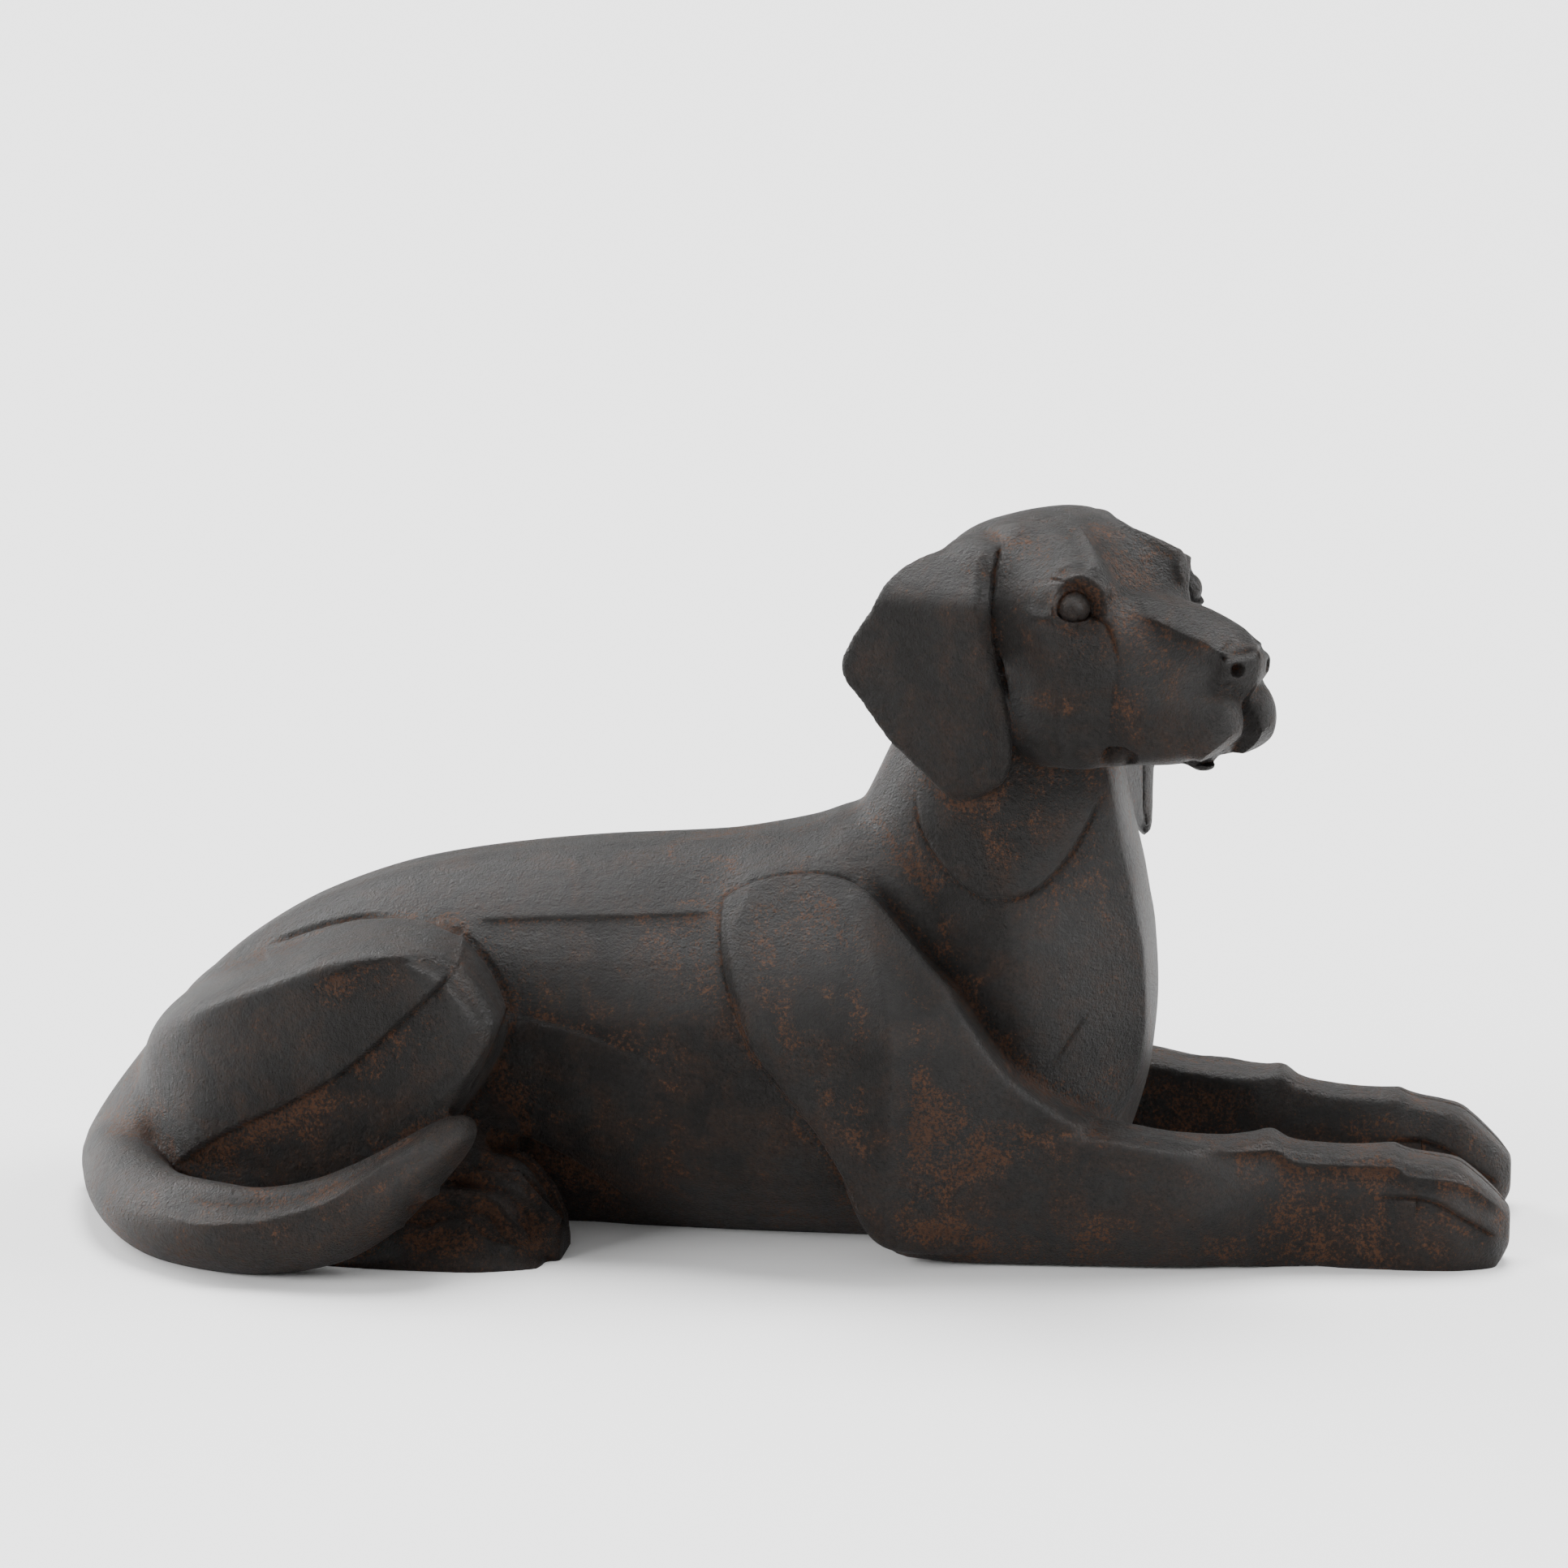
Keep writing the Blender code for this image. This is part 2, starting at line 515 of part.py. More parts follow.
class Skin:
    """The vertices of the fused skin, in units, with what carving needs of them."""

    def __init__(self, body):
        self.mesh = body.data
        count = len(self.mesh.vertices)
        flat = np.empty(count * 3)
        self.mesh.vertices.foreach_get("co", flat)
        self.points = flat.reshape(-1, 3) / UNIT
        edges = np.empty(len(self.mesh.edges) * 2, np.int64)
        self.mesh.edges.foreach_get("vertices", edges)
        self.edges = edges.reshape(-1, 2)
        self.degree = np.maximum(np.bincount(edges, minlength=count), 1)

    def write(self):
        self.mesh.vertices.foreach_set("co", (self.points * UNIT).ravel())
        self.mesh.update()

    def normals(self):
        self.write()
        flat = np.empty(len(self.points) * 3)
        self.mesh.vertex_normals.foreach_get("vector", flat)
        return flat.reshape(-1, 3)

    def relax(self, rounds, weight=1.0):
        """Moves each vertex towards the mean of its neighbours, by its weight."""
        first, second = self.edges[:, 0], self.edges[:, 1]
        weight = np.broadcast_to(np.asarray(weight, float), len(self.points))[:, None]
        for _ in range(rounds):
            total = np.empty_like(self.points)
            for axis in range(3):
                column = self.points[:, axis]
                total[:, axis] = (np.bincount(first, column[second], len(column))
                                  + np.bincount(second, column[first], len(column)))
            mean = total / self.degree[:, None]
            self.points += 0.6 * weight * (mean - self.points)


def along(path, flat):
    """Signed distance from each flat point to a line, left positive, and the share along it."""
    path = np.asarray(path, float)
    best = np.full(len(flat), 1e9)
    signed = np.zeros(len(flat))
    share = np.zeros(len(flat))
    length = np.linalg.norm(np.diff(path, axis=0), axis=1)
    start = np.concatenate(((0.0,), np.cumsum(length)))
    for index in range(len(path) - 1):
        base, step = path[index], path[index + 1] - path[index]
        offset = flat - base
        t = np.clip(offset @ step / (step @ step), 0, 1)
        gap = offset - t[:, None] * step
        distance = np.hypot(gap[:, 0], gap[:, 1])
        closer = distance < best
        best = np.where(closer, distance, best)
        turn = step[0] * offset[:, 1] - step[1] * offset[:, 0]
        signed = np.where(closer, np.where(turn >= 0, distance, -distance), signed)
        share = np.where(closer, (start[index] + t * length[index]) / start[-1], share)
    return signed, share


def line(points, steps=8):
    """A smooth open line through the given points."""
    path = curve_through([(index, *point) for index, point in enumerate(points)])
    return path(np.linspace(0, len(points) - 1, steps * (len(points) - 1) + 1))


def end_fade(share, first=0.08, last=0.08):
    rise = smooth_step(0, first, share) if first else 1.0
    fall = 1 - smooth_step(1 - last, 1, share) if last else 1.0
    return rise * fall


def ledge(flat, path, height, fade, ends=(0.08, 0.08)):
    """A raised step on the left of a line that dies out at the fade distance."""
    signed, share = along(path, flat)
    shape = smooth_step(-LEDGE_EDGE / 2, LEDGE_EDGE / 2, signed)
    shape = shape * (1 - smooth_step(0.15 * fade, fade, signed))
    return height * shape * end_fade(share, *ends)


def crease(flat, path, height, width, ends=(0.1, 0.1)):
    """A tent along a line: raised where the height is positive, a groove where it is not."""
    signed, share = along(path, flat)
    shape = np.clip(1 - np.abs(signed) / width, 0, 1) ** 1.3
    return height * shape * end_fade(share, *ends)


def carve_body(skin):
    """The carved lines of the flanks, haunches, shoulders and neck, the same on both sides."""
    normals = skin.normals()
    x, y, z = skin.points.T
    flat = np.stack((x, z), axis=1)
    sideways = smooth_step(0.15, 0.5, np.abs(normals[:, 1]))
    out = np.zeros(len(x))
    near_belly = np.abs(y) < 126
    back_line = line(((-196, 198), (-174, 201), (-123, 202), (-72, 206), (-30, 211)))
    out += np.where(near_belly & (z < 232) & (x < -28),
                    ledge(flat, back_line[::-1], -2.0, 36, (0.3, 0.3)), 0)
    on_haunch = (x < -140) & (np.abs(y) > 60)
    s_curve = line(((-172, 197), (-184, 185), (-208, 157), (-233, 133), (-259, 112), (-284, 95),
                    (-310, 81), (-345, 64), (-374, 50)))
    out += np.where(on_haunch, ledge(flat, s_curve, -5.0, 46, (0.1, 0.1)), 0)
    rim = line(((-322, 110), (-309, 135), (-283, 164), (-257, 179), (-232, 189), (-207, 195),
                (-184, 193)))
    out += np.where(on_haunch, ledge(flat, rim[::-1], -2.6, 46, (0.1, 0.3)), 0)
    flank = line(((-165, 128), (-145, 124), (-118, 117), (-90, 104), (-58, 92), (-26, 80)))
    below, share = along(flank[::-1], flat)
    swell = smooth_step(-4, 24, below) * (1 - smooth_step(26, 74, below)) * end_fade(share, 0.3, 0)
    out += np.where(near_belly & (x < 10) & (x > -175), 5.0 * swell, 0)
    crest = line(((-322, 46), (-290, 56), (-250, 61), (-214, 64), (-188, 72), (-170, 88)))
    plan = np.stack((x, np.abs(y)), axis=1)
    on_back = smooth_step(0.2, 0.5, normals[:, 2]) * smooth_step(140, 160, z)
    skin.points += normals * (on_back * ledge(plan, crest[::-1], -3.0, 24, (0.15, 0.3)))[:, None]
    plate_ridge = line(((58, 236), (68, 205), (76, 172), (81, 147), (84, 116), (84, 86),
                        (80, 40)))
    out += np.where(np.abs(y) > 90, crease(flat, plate_ridge, 2.2, 30, (0.2, 0.1)), 0)
    lobe = line(((94, 318), (92, 298), (92, 280), (95, 263), (103, 243), (118, 228), (135, 223),
                 (153, 225), (172, 236), (187, 253), (199, 272), (211, 300), (218, 320)))
    on_neck = (z > 200) & (np.abs(y) > 30) & (np.abs(y) < 112) & (x > 60)
    under_ear = 1 - smooth_step(238, 282, z)
    out += np.where(on_neck, under_ear * ledge(flat, lobe, 4.0, 60, (0.02, 0.25)), 0)
    skin.points += normals * (out * sideways)[:, None]


def carve_toes(skin):
    """Grooves between the toes of both forepaws."""
    x, y, z = skin.points.T
    normals = skin.normals()
    out = np.zeros(len(x))
    from_centre = np.abs(y) - np.interp(x, (386, 457), (65, 58))
    paw = smooth_step(384, 392, x)
    top = np.clip(normals[:, 2], 0, 1) ** 0.5
    for place in (-6.0, 6.5):
        out -= 2.6 * paw * top * np.clip(1 - np.abs(from_centre - place) / 2.4, 0, 1)
    side_line = line(((372, 38), (396, 40), (412, 38), (438, 18)))
    flat = np.stack((x, z), axis=1)
    facing = smooth_step(0.4, 0.8, np.abs(normals[:, 1]))
    out += np.where(x > 360, crease(flat, side_line, -2.4, 2.6, (0.3, 0.1)), 0) * facing
    skin.points += normals * out[:, None]


def carve_head(skin):
    """Nostrils, the folds of the face and the edge lines of the ears."""
    axes = np.array((HEAD_FORWARD, HEAD_SIDE, HEAD_UP))
    local = (skin.points - HEAD_ORIGIN) @ axes.T
    normals = skin.normals()
    forward, side, up = local.T
    out = np.zeros(len(forward))
    for sign in (1, -1):
        across = (forward - 99.5) * 0.45 - (side * sign - 12.7) * 0.89
        gap = np.where((forward > 92) & (side * sign > 0), np.hypot(across, up + 29.5), 99)
        out -= 6.5 * (1 - smooth_step(0.4, 1.3, gap / NOSTRIL_RADIUS))
    flat = np.stack((forward, up), axis=1)
    face = smooth_step(26, 40, np.abs(side)) * (np.abs(side) < 66) * smooth_step(-34, -10, forward)
    fold = line(((14, 2), (26, -12), (32, -30), (29, -50), (25, -72), (36, -86)))
    out += face * ledge(flat, fold, 2.2, 34, (0.3, 0.3))
    on_ear = (np.abs(side) > 70) & (forward < -18)
    ear_fold = line(((-54, 30), (-53, 0), (-50, -30), (-42, -54), (-31, -78), (-30, -100)))
    out += np.where(on_ear, crease(flat, ear_fold, 1.6, 12), 0)
    skin.points += normals * out[:, None]


def build(voxel=VOXEL_SIZE):
    """The whole figure as one fused, carved skin."""
    parts = [trunk(), neck_and_chest(), tail()] + hind_foot() + head()
    for limb in (shoulder(), foreleg(), haunch()):
        parts += [limb, mirrored(limb)]
    parts += [mirrored(part) for part in hind_foot()]
    body = fuse(parts, voxel, "lying_hound")
    skin = Skin(body)
    scale = (VOXEL_SIZE / voxel) ** 2
    skin.relax(max(1, round(2 * scale)))
    x, y, z = skin.points.T
    nape = np.exp(-(((x - 62) / 26) ** 2 + (y / 70) ** 2 + ((z - 268) / 30) ** 2))
    rump = np.exp(-(((x + 402) / 40) ** 2 + ((np.abs(y) - 50) / 60) ** 2 + ((z - 100) / 45) ** 2))
    axes = np.array((HEAD_FORWARD, HEAD_SIDE, HEAD_UP))
    forward, side, up = ((skin.points - HEAD_ORIGIN) @ axes.T).T
    ear_root = np.exp(-(((forward + 84) / 44) ** 2 + ((np.abs(side) - 66) / 16) ** 2
                        + ((up - 22) / 16) ** 2))
    skin.relax(round(40 * scale), np.clip(nape + 1.4 * rump + 0.8 * ear_root, 0, 1))
    carve_body(skin)
    carve_toes(skin)
    carve_head(skin)
    skin.write()
    return body


def keep_largest(body):
    """Drops stray shells and sealed hollows that fusing can leave."""
    mesh = bmesh.new()
    mesh.from_mesh(body.data)
    mesh.verts.ensure_lookup_table()
    group = np.full(len(mesh.verts), -1)
    groups = []
    for start in mesh.verts:
        if group[start.index] >= 0:
            continue
        group[start.index] = len(groups)
        waiting = [start]
        members = []
        while waiting:
            vert = waiting.pop()
            members.append(vert)
            for edge in vert.link_edges:
                other = edge.other_vert(vert)
                if group[other.index] < 0:
                    group[other.index] = len(groups)
                    waiting.append(other)
        groups.append(members)
    largest = max(groups, key=len)
    for members in groups:
        if members is not largest:
            bmesh.ops.delete(mesh, geom=members, context="VERTS")
    mesh.to_mesh(body.data)
    mesh.free()


def flatten_sole(body):
    """Cuts the figure flat where it rests and stands its box's bottom centre on the origin."""
    mesh = bmesh.new()
    mesh.from_mesh(body.data)
    geometry = mesh.verts[:] + mesh.edges[:] + mesh.faces[:]
    cut = bmesh.ops.bisect_plane(mesh, geom=geometry, dist=1e-6, plane_co=(0, 0, 0),
                                 plane_no=(0, 0, -1), clear_outer=True)
    rim = [item for item in cut["geom_cut"] if isinstance(item, bmesh.types.BMEdge)]
    bmesh.ops.holes_fill(mesh, edges=rim, sides=0)
    bmesh.ops.triangulate(mesh, faces=[face for face in mesh.faces if len(face.verts) > 4])
    bmesh.ops.dissolve_degenerate(mesh, dist=1e-5, edges=mesh.edges[:])
    bmesh.ops.triangulate(mesh, faces=mesh.faces[:])
    bmesh.ops.recalc_face_normals(mesh, faces=mesh.faces[:])
    places = np.array([vert.co for vert in mesh.verts])
    low, high = places.min(axis=0), places.max(axis=0)
    shift = -np.array(((low[0] + high[0]) / 2, (low[1] + high[1]) / 2, low[2]))
    bmesh.ops.translate(mesh, verts=mesh.verts[:], vec=tuple(shift))
    mesh.to_mesh(body.data)
    mesh.free()
    body.data.update()


def lighten(body, faces):
    """Decimates the skin to a number of triangles."""
    decimate = body.modifiers.new("Lighten", "DECIMATE")
    decimate.ratio = faces / sum(len(face.vertices) - 2 for face in body.data.polygons)
    decimate.use_collapse_triangulate = True
    apply_modifiers(body)


def skin_material():
    material = bpy.data.materials.new("dark_cast_patina")
    material.use_nodes = True
    shader = material.node_tree.nodes["Principled BSDF"]
    shader.inputs["Base Color"].default_value = SKIN_COLOUR
    shader.inputs["Roughness"].default_value = SKIN_ROUGHNESS
    shader.inputs["Metallic"].default_value = SKIN_METALLIC
    material.diffuse_color = SKIN_COLOUR
    return material


def main():
    for item in list(bpy.data.objects):
        bpy.data.objects.remove(item, do_unlink=True)
    body = build()
    lighten(body, FACE_COUNT)
    flatten_sole(body)
    keep_largest(body)
    body.data.materials.clear()
    body.data.materials.append(skin_material())
    for face in body.data.polygons:
        face.use_smooth = True


if __name__ == "__main__":
    main()
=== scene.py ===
"""The looks of the lying hound: its carved skin, its patina, the floor, the light and the camera.

The figure is built from the same masses as its solid, with a finer skin and more carving, and
it stands where the solid stands.  Numbers in the outlines are millimetres at the size below.
"""
import bpy
import bmesh
import itertools
import numpy as np
from math import cos, pi, radians, sin
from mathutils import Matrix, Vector


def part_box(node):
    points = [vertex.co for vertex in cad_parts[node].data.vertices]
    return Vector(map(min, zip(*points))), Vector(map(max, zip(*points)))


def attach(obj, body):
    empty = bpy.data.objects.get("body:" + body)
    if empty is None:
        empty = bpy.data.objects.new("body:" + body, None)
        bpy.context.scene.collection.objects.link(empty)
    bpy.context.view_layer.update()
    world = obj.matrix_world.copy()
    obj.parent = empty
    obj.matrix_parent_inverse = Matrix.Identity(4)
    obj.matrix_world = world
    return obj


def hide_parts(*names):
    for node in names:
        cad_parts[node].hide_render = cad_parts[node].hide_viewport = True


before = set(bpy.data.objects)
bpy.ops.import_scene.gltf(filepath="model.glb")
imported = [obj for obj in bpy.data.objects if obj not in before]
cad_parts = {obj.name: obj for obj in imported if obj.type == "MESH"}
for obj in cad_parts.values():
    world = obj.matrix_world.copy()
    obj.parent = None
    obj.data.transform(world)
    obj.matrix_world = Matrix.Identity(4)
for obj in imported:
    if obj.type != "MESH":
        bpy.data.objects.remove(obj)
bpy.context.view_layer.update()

NODE = "lying_hound"

BODY_LENGTH = 0.92
UNIT = BODY_LENGTH / 920.0
VOXEL_SIZE = 0.0021
FACE_COUNT = 192000
RING_POINTS = 64

HEAD_YAW = radians(40.0)
HEAD_ORIGIN = np.array((219.0, -40.0, 404.0))
HEAD_FORWARD = np.array((cos(HEAD_YAW), -sin(HEAD_YAW), 0.0))
HEAD_SIDE = np.array((-sin(HEAD_YAW), -cos(HEAD_YAW), 0.0))
HEAD_UP = np.array((0.0, 0.0, 1.0))
HEAD_AXES = np.array((HEAD_FORWARD, HEAD_SIDE, HEAD_UP))

EYE_RADIUS = 10.5
EYE_PLACE = (-2.2, 48.7, -1.0)
EYE_FACING = (0.87, 0.45, 0.18)
EYE_OPENING = (10.2, 12.2, 6.0)     # half width, height above and below
EYE_DROP = 3.0                      # from the ball's middle to the opening's
EYE_GROOVE = (0.8, 0.9)             # width and depth of the groove around the ball
LID_HEIGHT = 1.5
NOSTRIL_PLACE = (99.5, 12.7, -29.5)
NOSTRIL_RADIUS = 4.2
NOSTRIL_DEPTH = 6.5
EAR_THICKNESS = 9.0
LEDGE_EDGE = 2.6
LINE_STEPS = 5

PHOTO_SIZE = 1932
PHOTO_PIXELS_PER_UNIT = 2.0
PHOTO_PIXELS_PER_METRE = 1972.0     # where the camera aims
CAMERA_AZIMUTH = radians(8.0)
CAMERA_ELEVATION = radians(12.0)
CAMERA_DISTANCE = 3.3
CAMERA_AIM = (0.0, 0.0, 0.273)
CAMERA_FOCUS = PHOTO_PIXELS_PER_METRE * CAMERA_DISTANCE
SENSOR_WIDTH = 36.0

DARK_METAL = (0.0092, 0.0071, 0.0058)
GREY_METAL = (0.0240, 0.0215, 0.0200)
BROWN_METAL = (0.034, 0.0175, 0.0105)
RUST = (0.115, 0.045, 0.017)
PIT = (0.004, 0.0032, 0.0028)
# painted shade: the near-black that the recesses are darkened towards
RECESS_PAINTED_SHADE = (0.004, 0.0035, 0.003)
RUST_HEIGHT = 0.11
GRAIN_DEPTH = 0.013

FLOOR_REACH = 40.0
FLOOR_SHADE = 0.92
SKY_STRENGTH = 0.50
LIGHTS = (
    # name, azimuth, elevation, strength, spread, with the angles in degrees
    ("top_light", 178, 66, 4.8, 30),
    ("left_back_light", -124, 24, 4.2, 40),
    ("right_back_light", 116, 32, 3.6, 35),
    ("left_front_light", -58, 22, 3.0, 35),
)


# Curves and shells

def curve_through(rows):
    """A smooth function through rows of (place, value, value, ...), level beyond both ends."""
    table = np.array(rows, float)
    place = table[:, 0]
    value = table[:, 1:]
    step = np.diff(place)[:, None]
    slope = np.diff(value, axis=0) / step
    before, after = slope[:-1], slope[1:]
    same_way = before * after > 0
    total = np.where(same_way, before + after, 1.0)
    tangent = np.zeros_like(value)
    tangent[1:-1] = np.where(same_way, 2 * before * after / total, 0.0)
    tangent[0], tangent[-1] = slope[0], slope[-1]

    def evaluate(where):
        where = np.clip(np.atleast_1d(np.asarray(where, float)), place[0], place[-1])
        left = np.clip(np.searchsorted(place, where) - 1, 0, len(step) - 1)
        span = step[left]
        t = (where - place[left])[:, None] / span
        return ((2 * t ** 3 - 3 * t ** 2 + 1) * value[left]
                + (t ** 3 - 2 * t ** 2 + t) * span * tangent[left]
                + (3 * t ** 2 - 2 * t ** 3) * value[left + 1]
                + (t ** 3 - t ** 2) * span * tangent[left + 1])
    return evaluate


def closed_spline(points, count=RING_POINTS):
    """Evenly stepped points of a smooth closed curve through the given points."""
    given = np.asarray(points, float)
    size = len(given)
    step = np.linspace(0, size, count, endpoint=False)
    index = step.astype(int)
    t = (step - index)[:, None]
    a, b = given[(index - 1) % size], given[index % size]
    c, d = given[(index + 1) % size], given[(index + 2) % size]
    return 0.5 * (2 * b + (c - a) * t + (2 * a - 5 * b + 4 * c - d) * t ** 2
                  + (3 * b - a - 3 * c + d) * t ** 3)


def both_sides(half):
    """A closed section from its half: the points from top centre to bottom centre."""
    half = list(half)
    return half + [(-side, up) for side, up in reversed(half[1:-1])]


def cornered(points, places, share):
    """Points in which each of the named places is drawn as a tight corner."""
    made = []
    for index, point in enumerate(points):
        if index in places:
            here, before, after = (np.array(points[index + step]) for step in (0, -1, 1))
            made += [here + share * (before - here), here + share * (after - here)]
        else:
            made.append(point)
    return made


def smooth_step(low, high, value):
    t = np.clip((value - low) / (high - low), 0.0, 1.0)
    return t * t * (3 - 2 * t)


def shell(rings):
    """Vertices and faces of a closed skin over a row of rings with equal counts."""
    rings = [np.asarray(ring, float) for ring in rings]
    count = len(rings[0])
    points = [point for ring in rings for point in ring]
    faces = []
    for row in range(len(rings) - 1):
        for column in range(count):
            after = (column + 1) % count
            faces.append((row * count + column, row * count + after,
                          (row + 1) * count + after, (row + 1) * count + column))
    for ring, offset, turn in ((rings[0], 0, 1), (rings[-1], (len(rings) - 1) * count, -1)):
        points.append(ring.mean(axis=0))
        centre = len(points) - 1
        for column in range(count):
            pair = (offset + (column + 1) % count, offset + column)[::turn]
            faces.append((centre,) + pair)
    return np.array(points), faces


def loft(rows, low, high, count, section):
    """A shell of the rings that a section makes at even steps through a table of its measures."""
    table = curve_through(rows)
    return shell([section(place, *table(place)[0]) for place in np.linspace(low, high, count)])


def mirrored(part):
    points, faces = part
    return points * (1, -1, 1), faces


def blob(centre, radii, turn=0.0):
    """An ellipsoid in its parent's axes, turned by an angle about the upright one."""
    rings = []
    for latitude in np.linspace(-pi / 2 + 0.08, pi / 2 - 0.08, 17):
        angle = np.linspace(0, 2 * pi, 32, endpoint=False)
        x = radii[0] * np.cos(angle) * cos(latitude)
        y = radii[1] * np.sin(angle) * cos(latitude)
        z = np.full_like(x, radii[2] * sin(latitude))
        ring = np.stack((x * cos(turn) - y * sin(turn), x * sin(turn) + y * cos(turn), z), axis=1)
        rings.append(ring + np.array(centre))
    return shell(rings)


def pad(outline, centre, rings, face):
    """A shell over an outline: edge rings of (scale about the centre, depth function), then a face."""
    edge = closed_spline(outline, 96)
    centre = np.array(centre, float)
    built = []
    inner = [(scale, face) for scale in np.linspace(rings[-1][0] - 0.05, 0.02, 14)]
    for scale, depth in list(rings) + inner:
        flat = centre + (edge - centre) * scale
        built.append(np.stack((flat[:, 0], depth(flat[:, 0], flat[:, 1]), flat[:, 1]), axis=1))
    return shell(built)


def sweep(stations, corner=2.0, rows=60):
    """A bar along (x, y, z, half width, half height) stations with a superellipse section."""
    table = np.array(stations, float)
    path = curve_through([(index, *row) for index, row in enumerate(table)])
    rings = []
    angle = np.linspace(0, 2 * pi, RING_POINTS, endpoint=False)
    across = np.sign(np.cos(angle)) * np.abs(np.cos(angle)) ** (2 / corner)
    upward = np.sign(np.sin(angle)) * np.abs(np.sin(angle)) ** (2 / corner)
    for t in np.linspace(0, len(table) - 1, rows):
        x, y, z, wide, high = path(t)[0]
        ahead = path(min(t + 0.05, len(table) - 1))[0][:3] - path(max(t - 0.05, 0))[0][:3]
        ahead /= np.linalg.norm(ahead)
        side = np.cross(ahead, (0, 0, 1))
        side /= np.linalg.norm(side)
        over = np.cross(side, ahead)
        rings.append(np.array((x, y, z)) + np.outer(across * wide, side)
                     + np.outer(upward * high, over))
    return shell(rings)


def in_head(part):
    """Moves a part from the head's own axes (forward, side, up) into the body's."""
    points, faces = part
    return points @ HEAD_AXES + HEAD_ORIGIN, faces


# The masses of the body

def trunk():
    rows = (
        # x, spine, back corner (y, z), widest (y, z), belly corner (y, z), sole half width
        (-452, 34, 14, 30, 24, 22, 20, 10, 10),
        (-440, 54, 26, 44, 44, 30, 40, 10, 24),
        (-415, 88, 38, 74, 66, 42, 56, 12, 40),
        (-380, 132, 48, 112, 80, 58, 72, 16, 50),
        (-340, 167, 56, 140, 90, 76, 80, 22, 54),
        (-290, 196, 60, 168, 96, 90, 82, 30, 54),
        (-230, 217, 66, 187, 99, 102, 80, 38, 52),
        (-170, 228, 70, 197, 101, 112, 82, 46, 50),
        (-110, 235, 72, 203, 107, 116, 92, 48, 50),
        (-55, 239, 73, 205, 112, 120, 99, 46, 50),
        (-34, 241, 73, 208, 114, 120, 101, 44, 50),
        (-10, 245, 71, 222, 115, 120, 101, 42, 50),
        (20, 252, 68, 230, 115, 120, 100, 42, 50),
        (50, 262, 67, 236, 112, 120, 96, 42, 50),
        (110, 262, 64, 232, 100, 120, 84, 42, 50),
    )

    def section(x, spine, back_y, back_z, wide, wide_z, low_y, low_z, sole):
        half = ((0, spine), (back_y * 0.42, spine * 0.88 + back_z * 0.12), (back_y, back_z),
                (0.25 * back_y + 0.75 * wide, 0.5 * back_z + 0.5 * wide_z), (wide, wide_z),
                (low_y, low_z), (sole, -5), (0, -5))
        return np.insert(closed_spline(both_sides(half)), 0, x, axis=1)
    return loft(rows, -452, 110, 70, section)


def neck_and_chest():
    rows = (
        # z, rear x, front x, half width, side x, front corner x, front corner y, offset y
        (-5, 92, 190, 54, 150, 178, 28, 0),
        (14, 88, 198, 62, 150, 184, 30, 0),
        (45, 80, 214, 82, 150, 200, 38, 0),
        (75, 70, 225, 92, 150, 214, 44, 0),
        (105, 60, 232, 96, 150, 226, 48, 0),
        (145, 55, 235, 97, 146, 231, 50, 0),
        (185, 50, 232, 93, 142, 229, 50, 0),
        (205, 48, 229, 87, 139, 225, 50, 0),
        (225, 46, 226, 79, 136, 221, 48, 0),
        (255, 48, 219, 70, 132, 214, 45, 0),
        (285, 60, 213, 64, 134, 208, 41, 0),
        (315, 74, 208, 60, 140, 202, 36, 2),
        (345, 86, 206, 57, 146, 198, 32, 6),
        (385, 98, 205, 54, 152, 196, 30, 10),
    )

    def section(z, rear, front, wide, side_x, corner_x, corner_y, shift):
        half = ((0, front), (corner_y * 0.6, front - 0.3 * (front - corner_x)),
                (corner_y - 3, corner_x + 0.5), (corner_y + 2, corner_x - 4),
                (0.25 * corner_y + 0.75 * wide, 0.45 * corner_x + 0.55 * side_x),
                (wide, side_x), (wide * 0.8, 0.42 * side_x + 0.58 * rear), (wide * 0.38, rear + 4),
                (0, rear))
        loop = closed_spline(both_sides(half))
        return np.stack((loop[:, 1], loop[:, 0] + shift, np.full(len(loop), z)), axis=1)
    return loft(rows, -5, 385, 52, section)


def shoulder():
    outline = ((-24, 194), (-22, 208), (-15, 219), (-2, 227), (16, 231), (36, 232), (54, 228),
               (70, 220), (87, 206), (104, 189), (124, 165), (145, 135), (162, 116), (190, 96),
               (206, 82), (190, 40), (150, 12), (100, 8), (74, 16), (60, 38), (50, 66),
               (34, 88), (15, 113), (-2, 134), (-14, 164))
    ridge = curve_through(((20, 78), (86, 84), (147, 82), (205, 68), (240, 56)))

    def face(x, z):
        past = x - ridge(z)[:, 0]
        out = 139 - 0.155 * np.maximum(-past, 0) - 0.19 * np.maximum(past, 0)
        return -(out - 0.0052 * np.maximum(z - 118, 0) ** 2 - 0.10 * np.maximum(60 - z, 0))

    def inset(depth):
        return lambda x, z: face(x, z) + depth
    return pad(outline, (80, 120), ((1.0, inset(60)), (1.0, inset(20)), (0.99, inset(4)),
                                    (0.97, inset(0.6))), face)


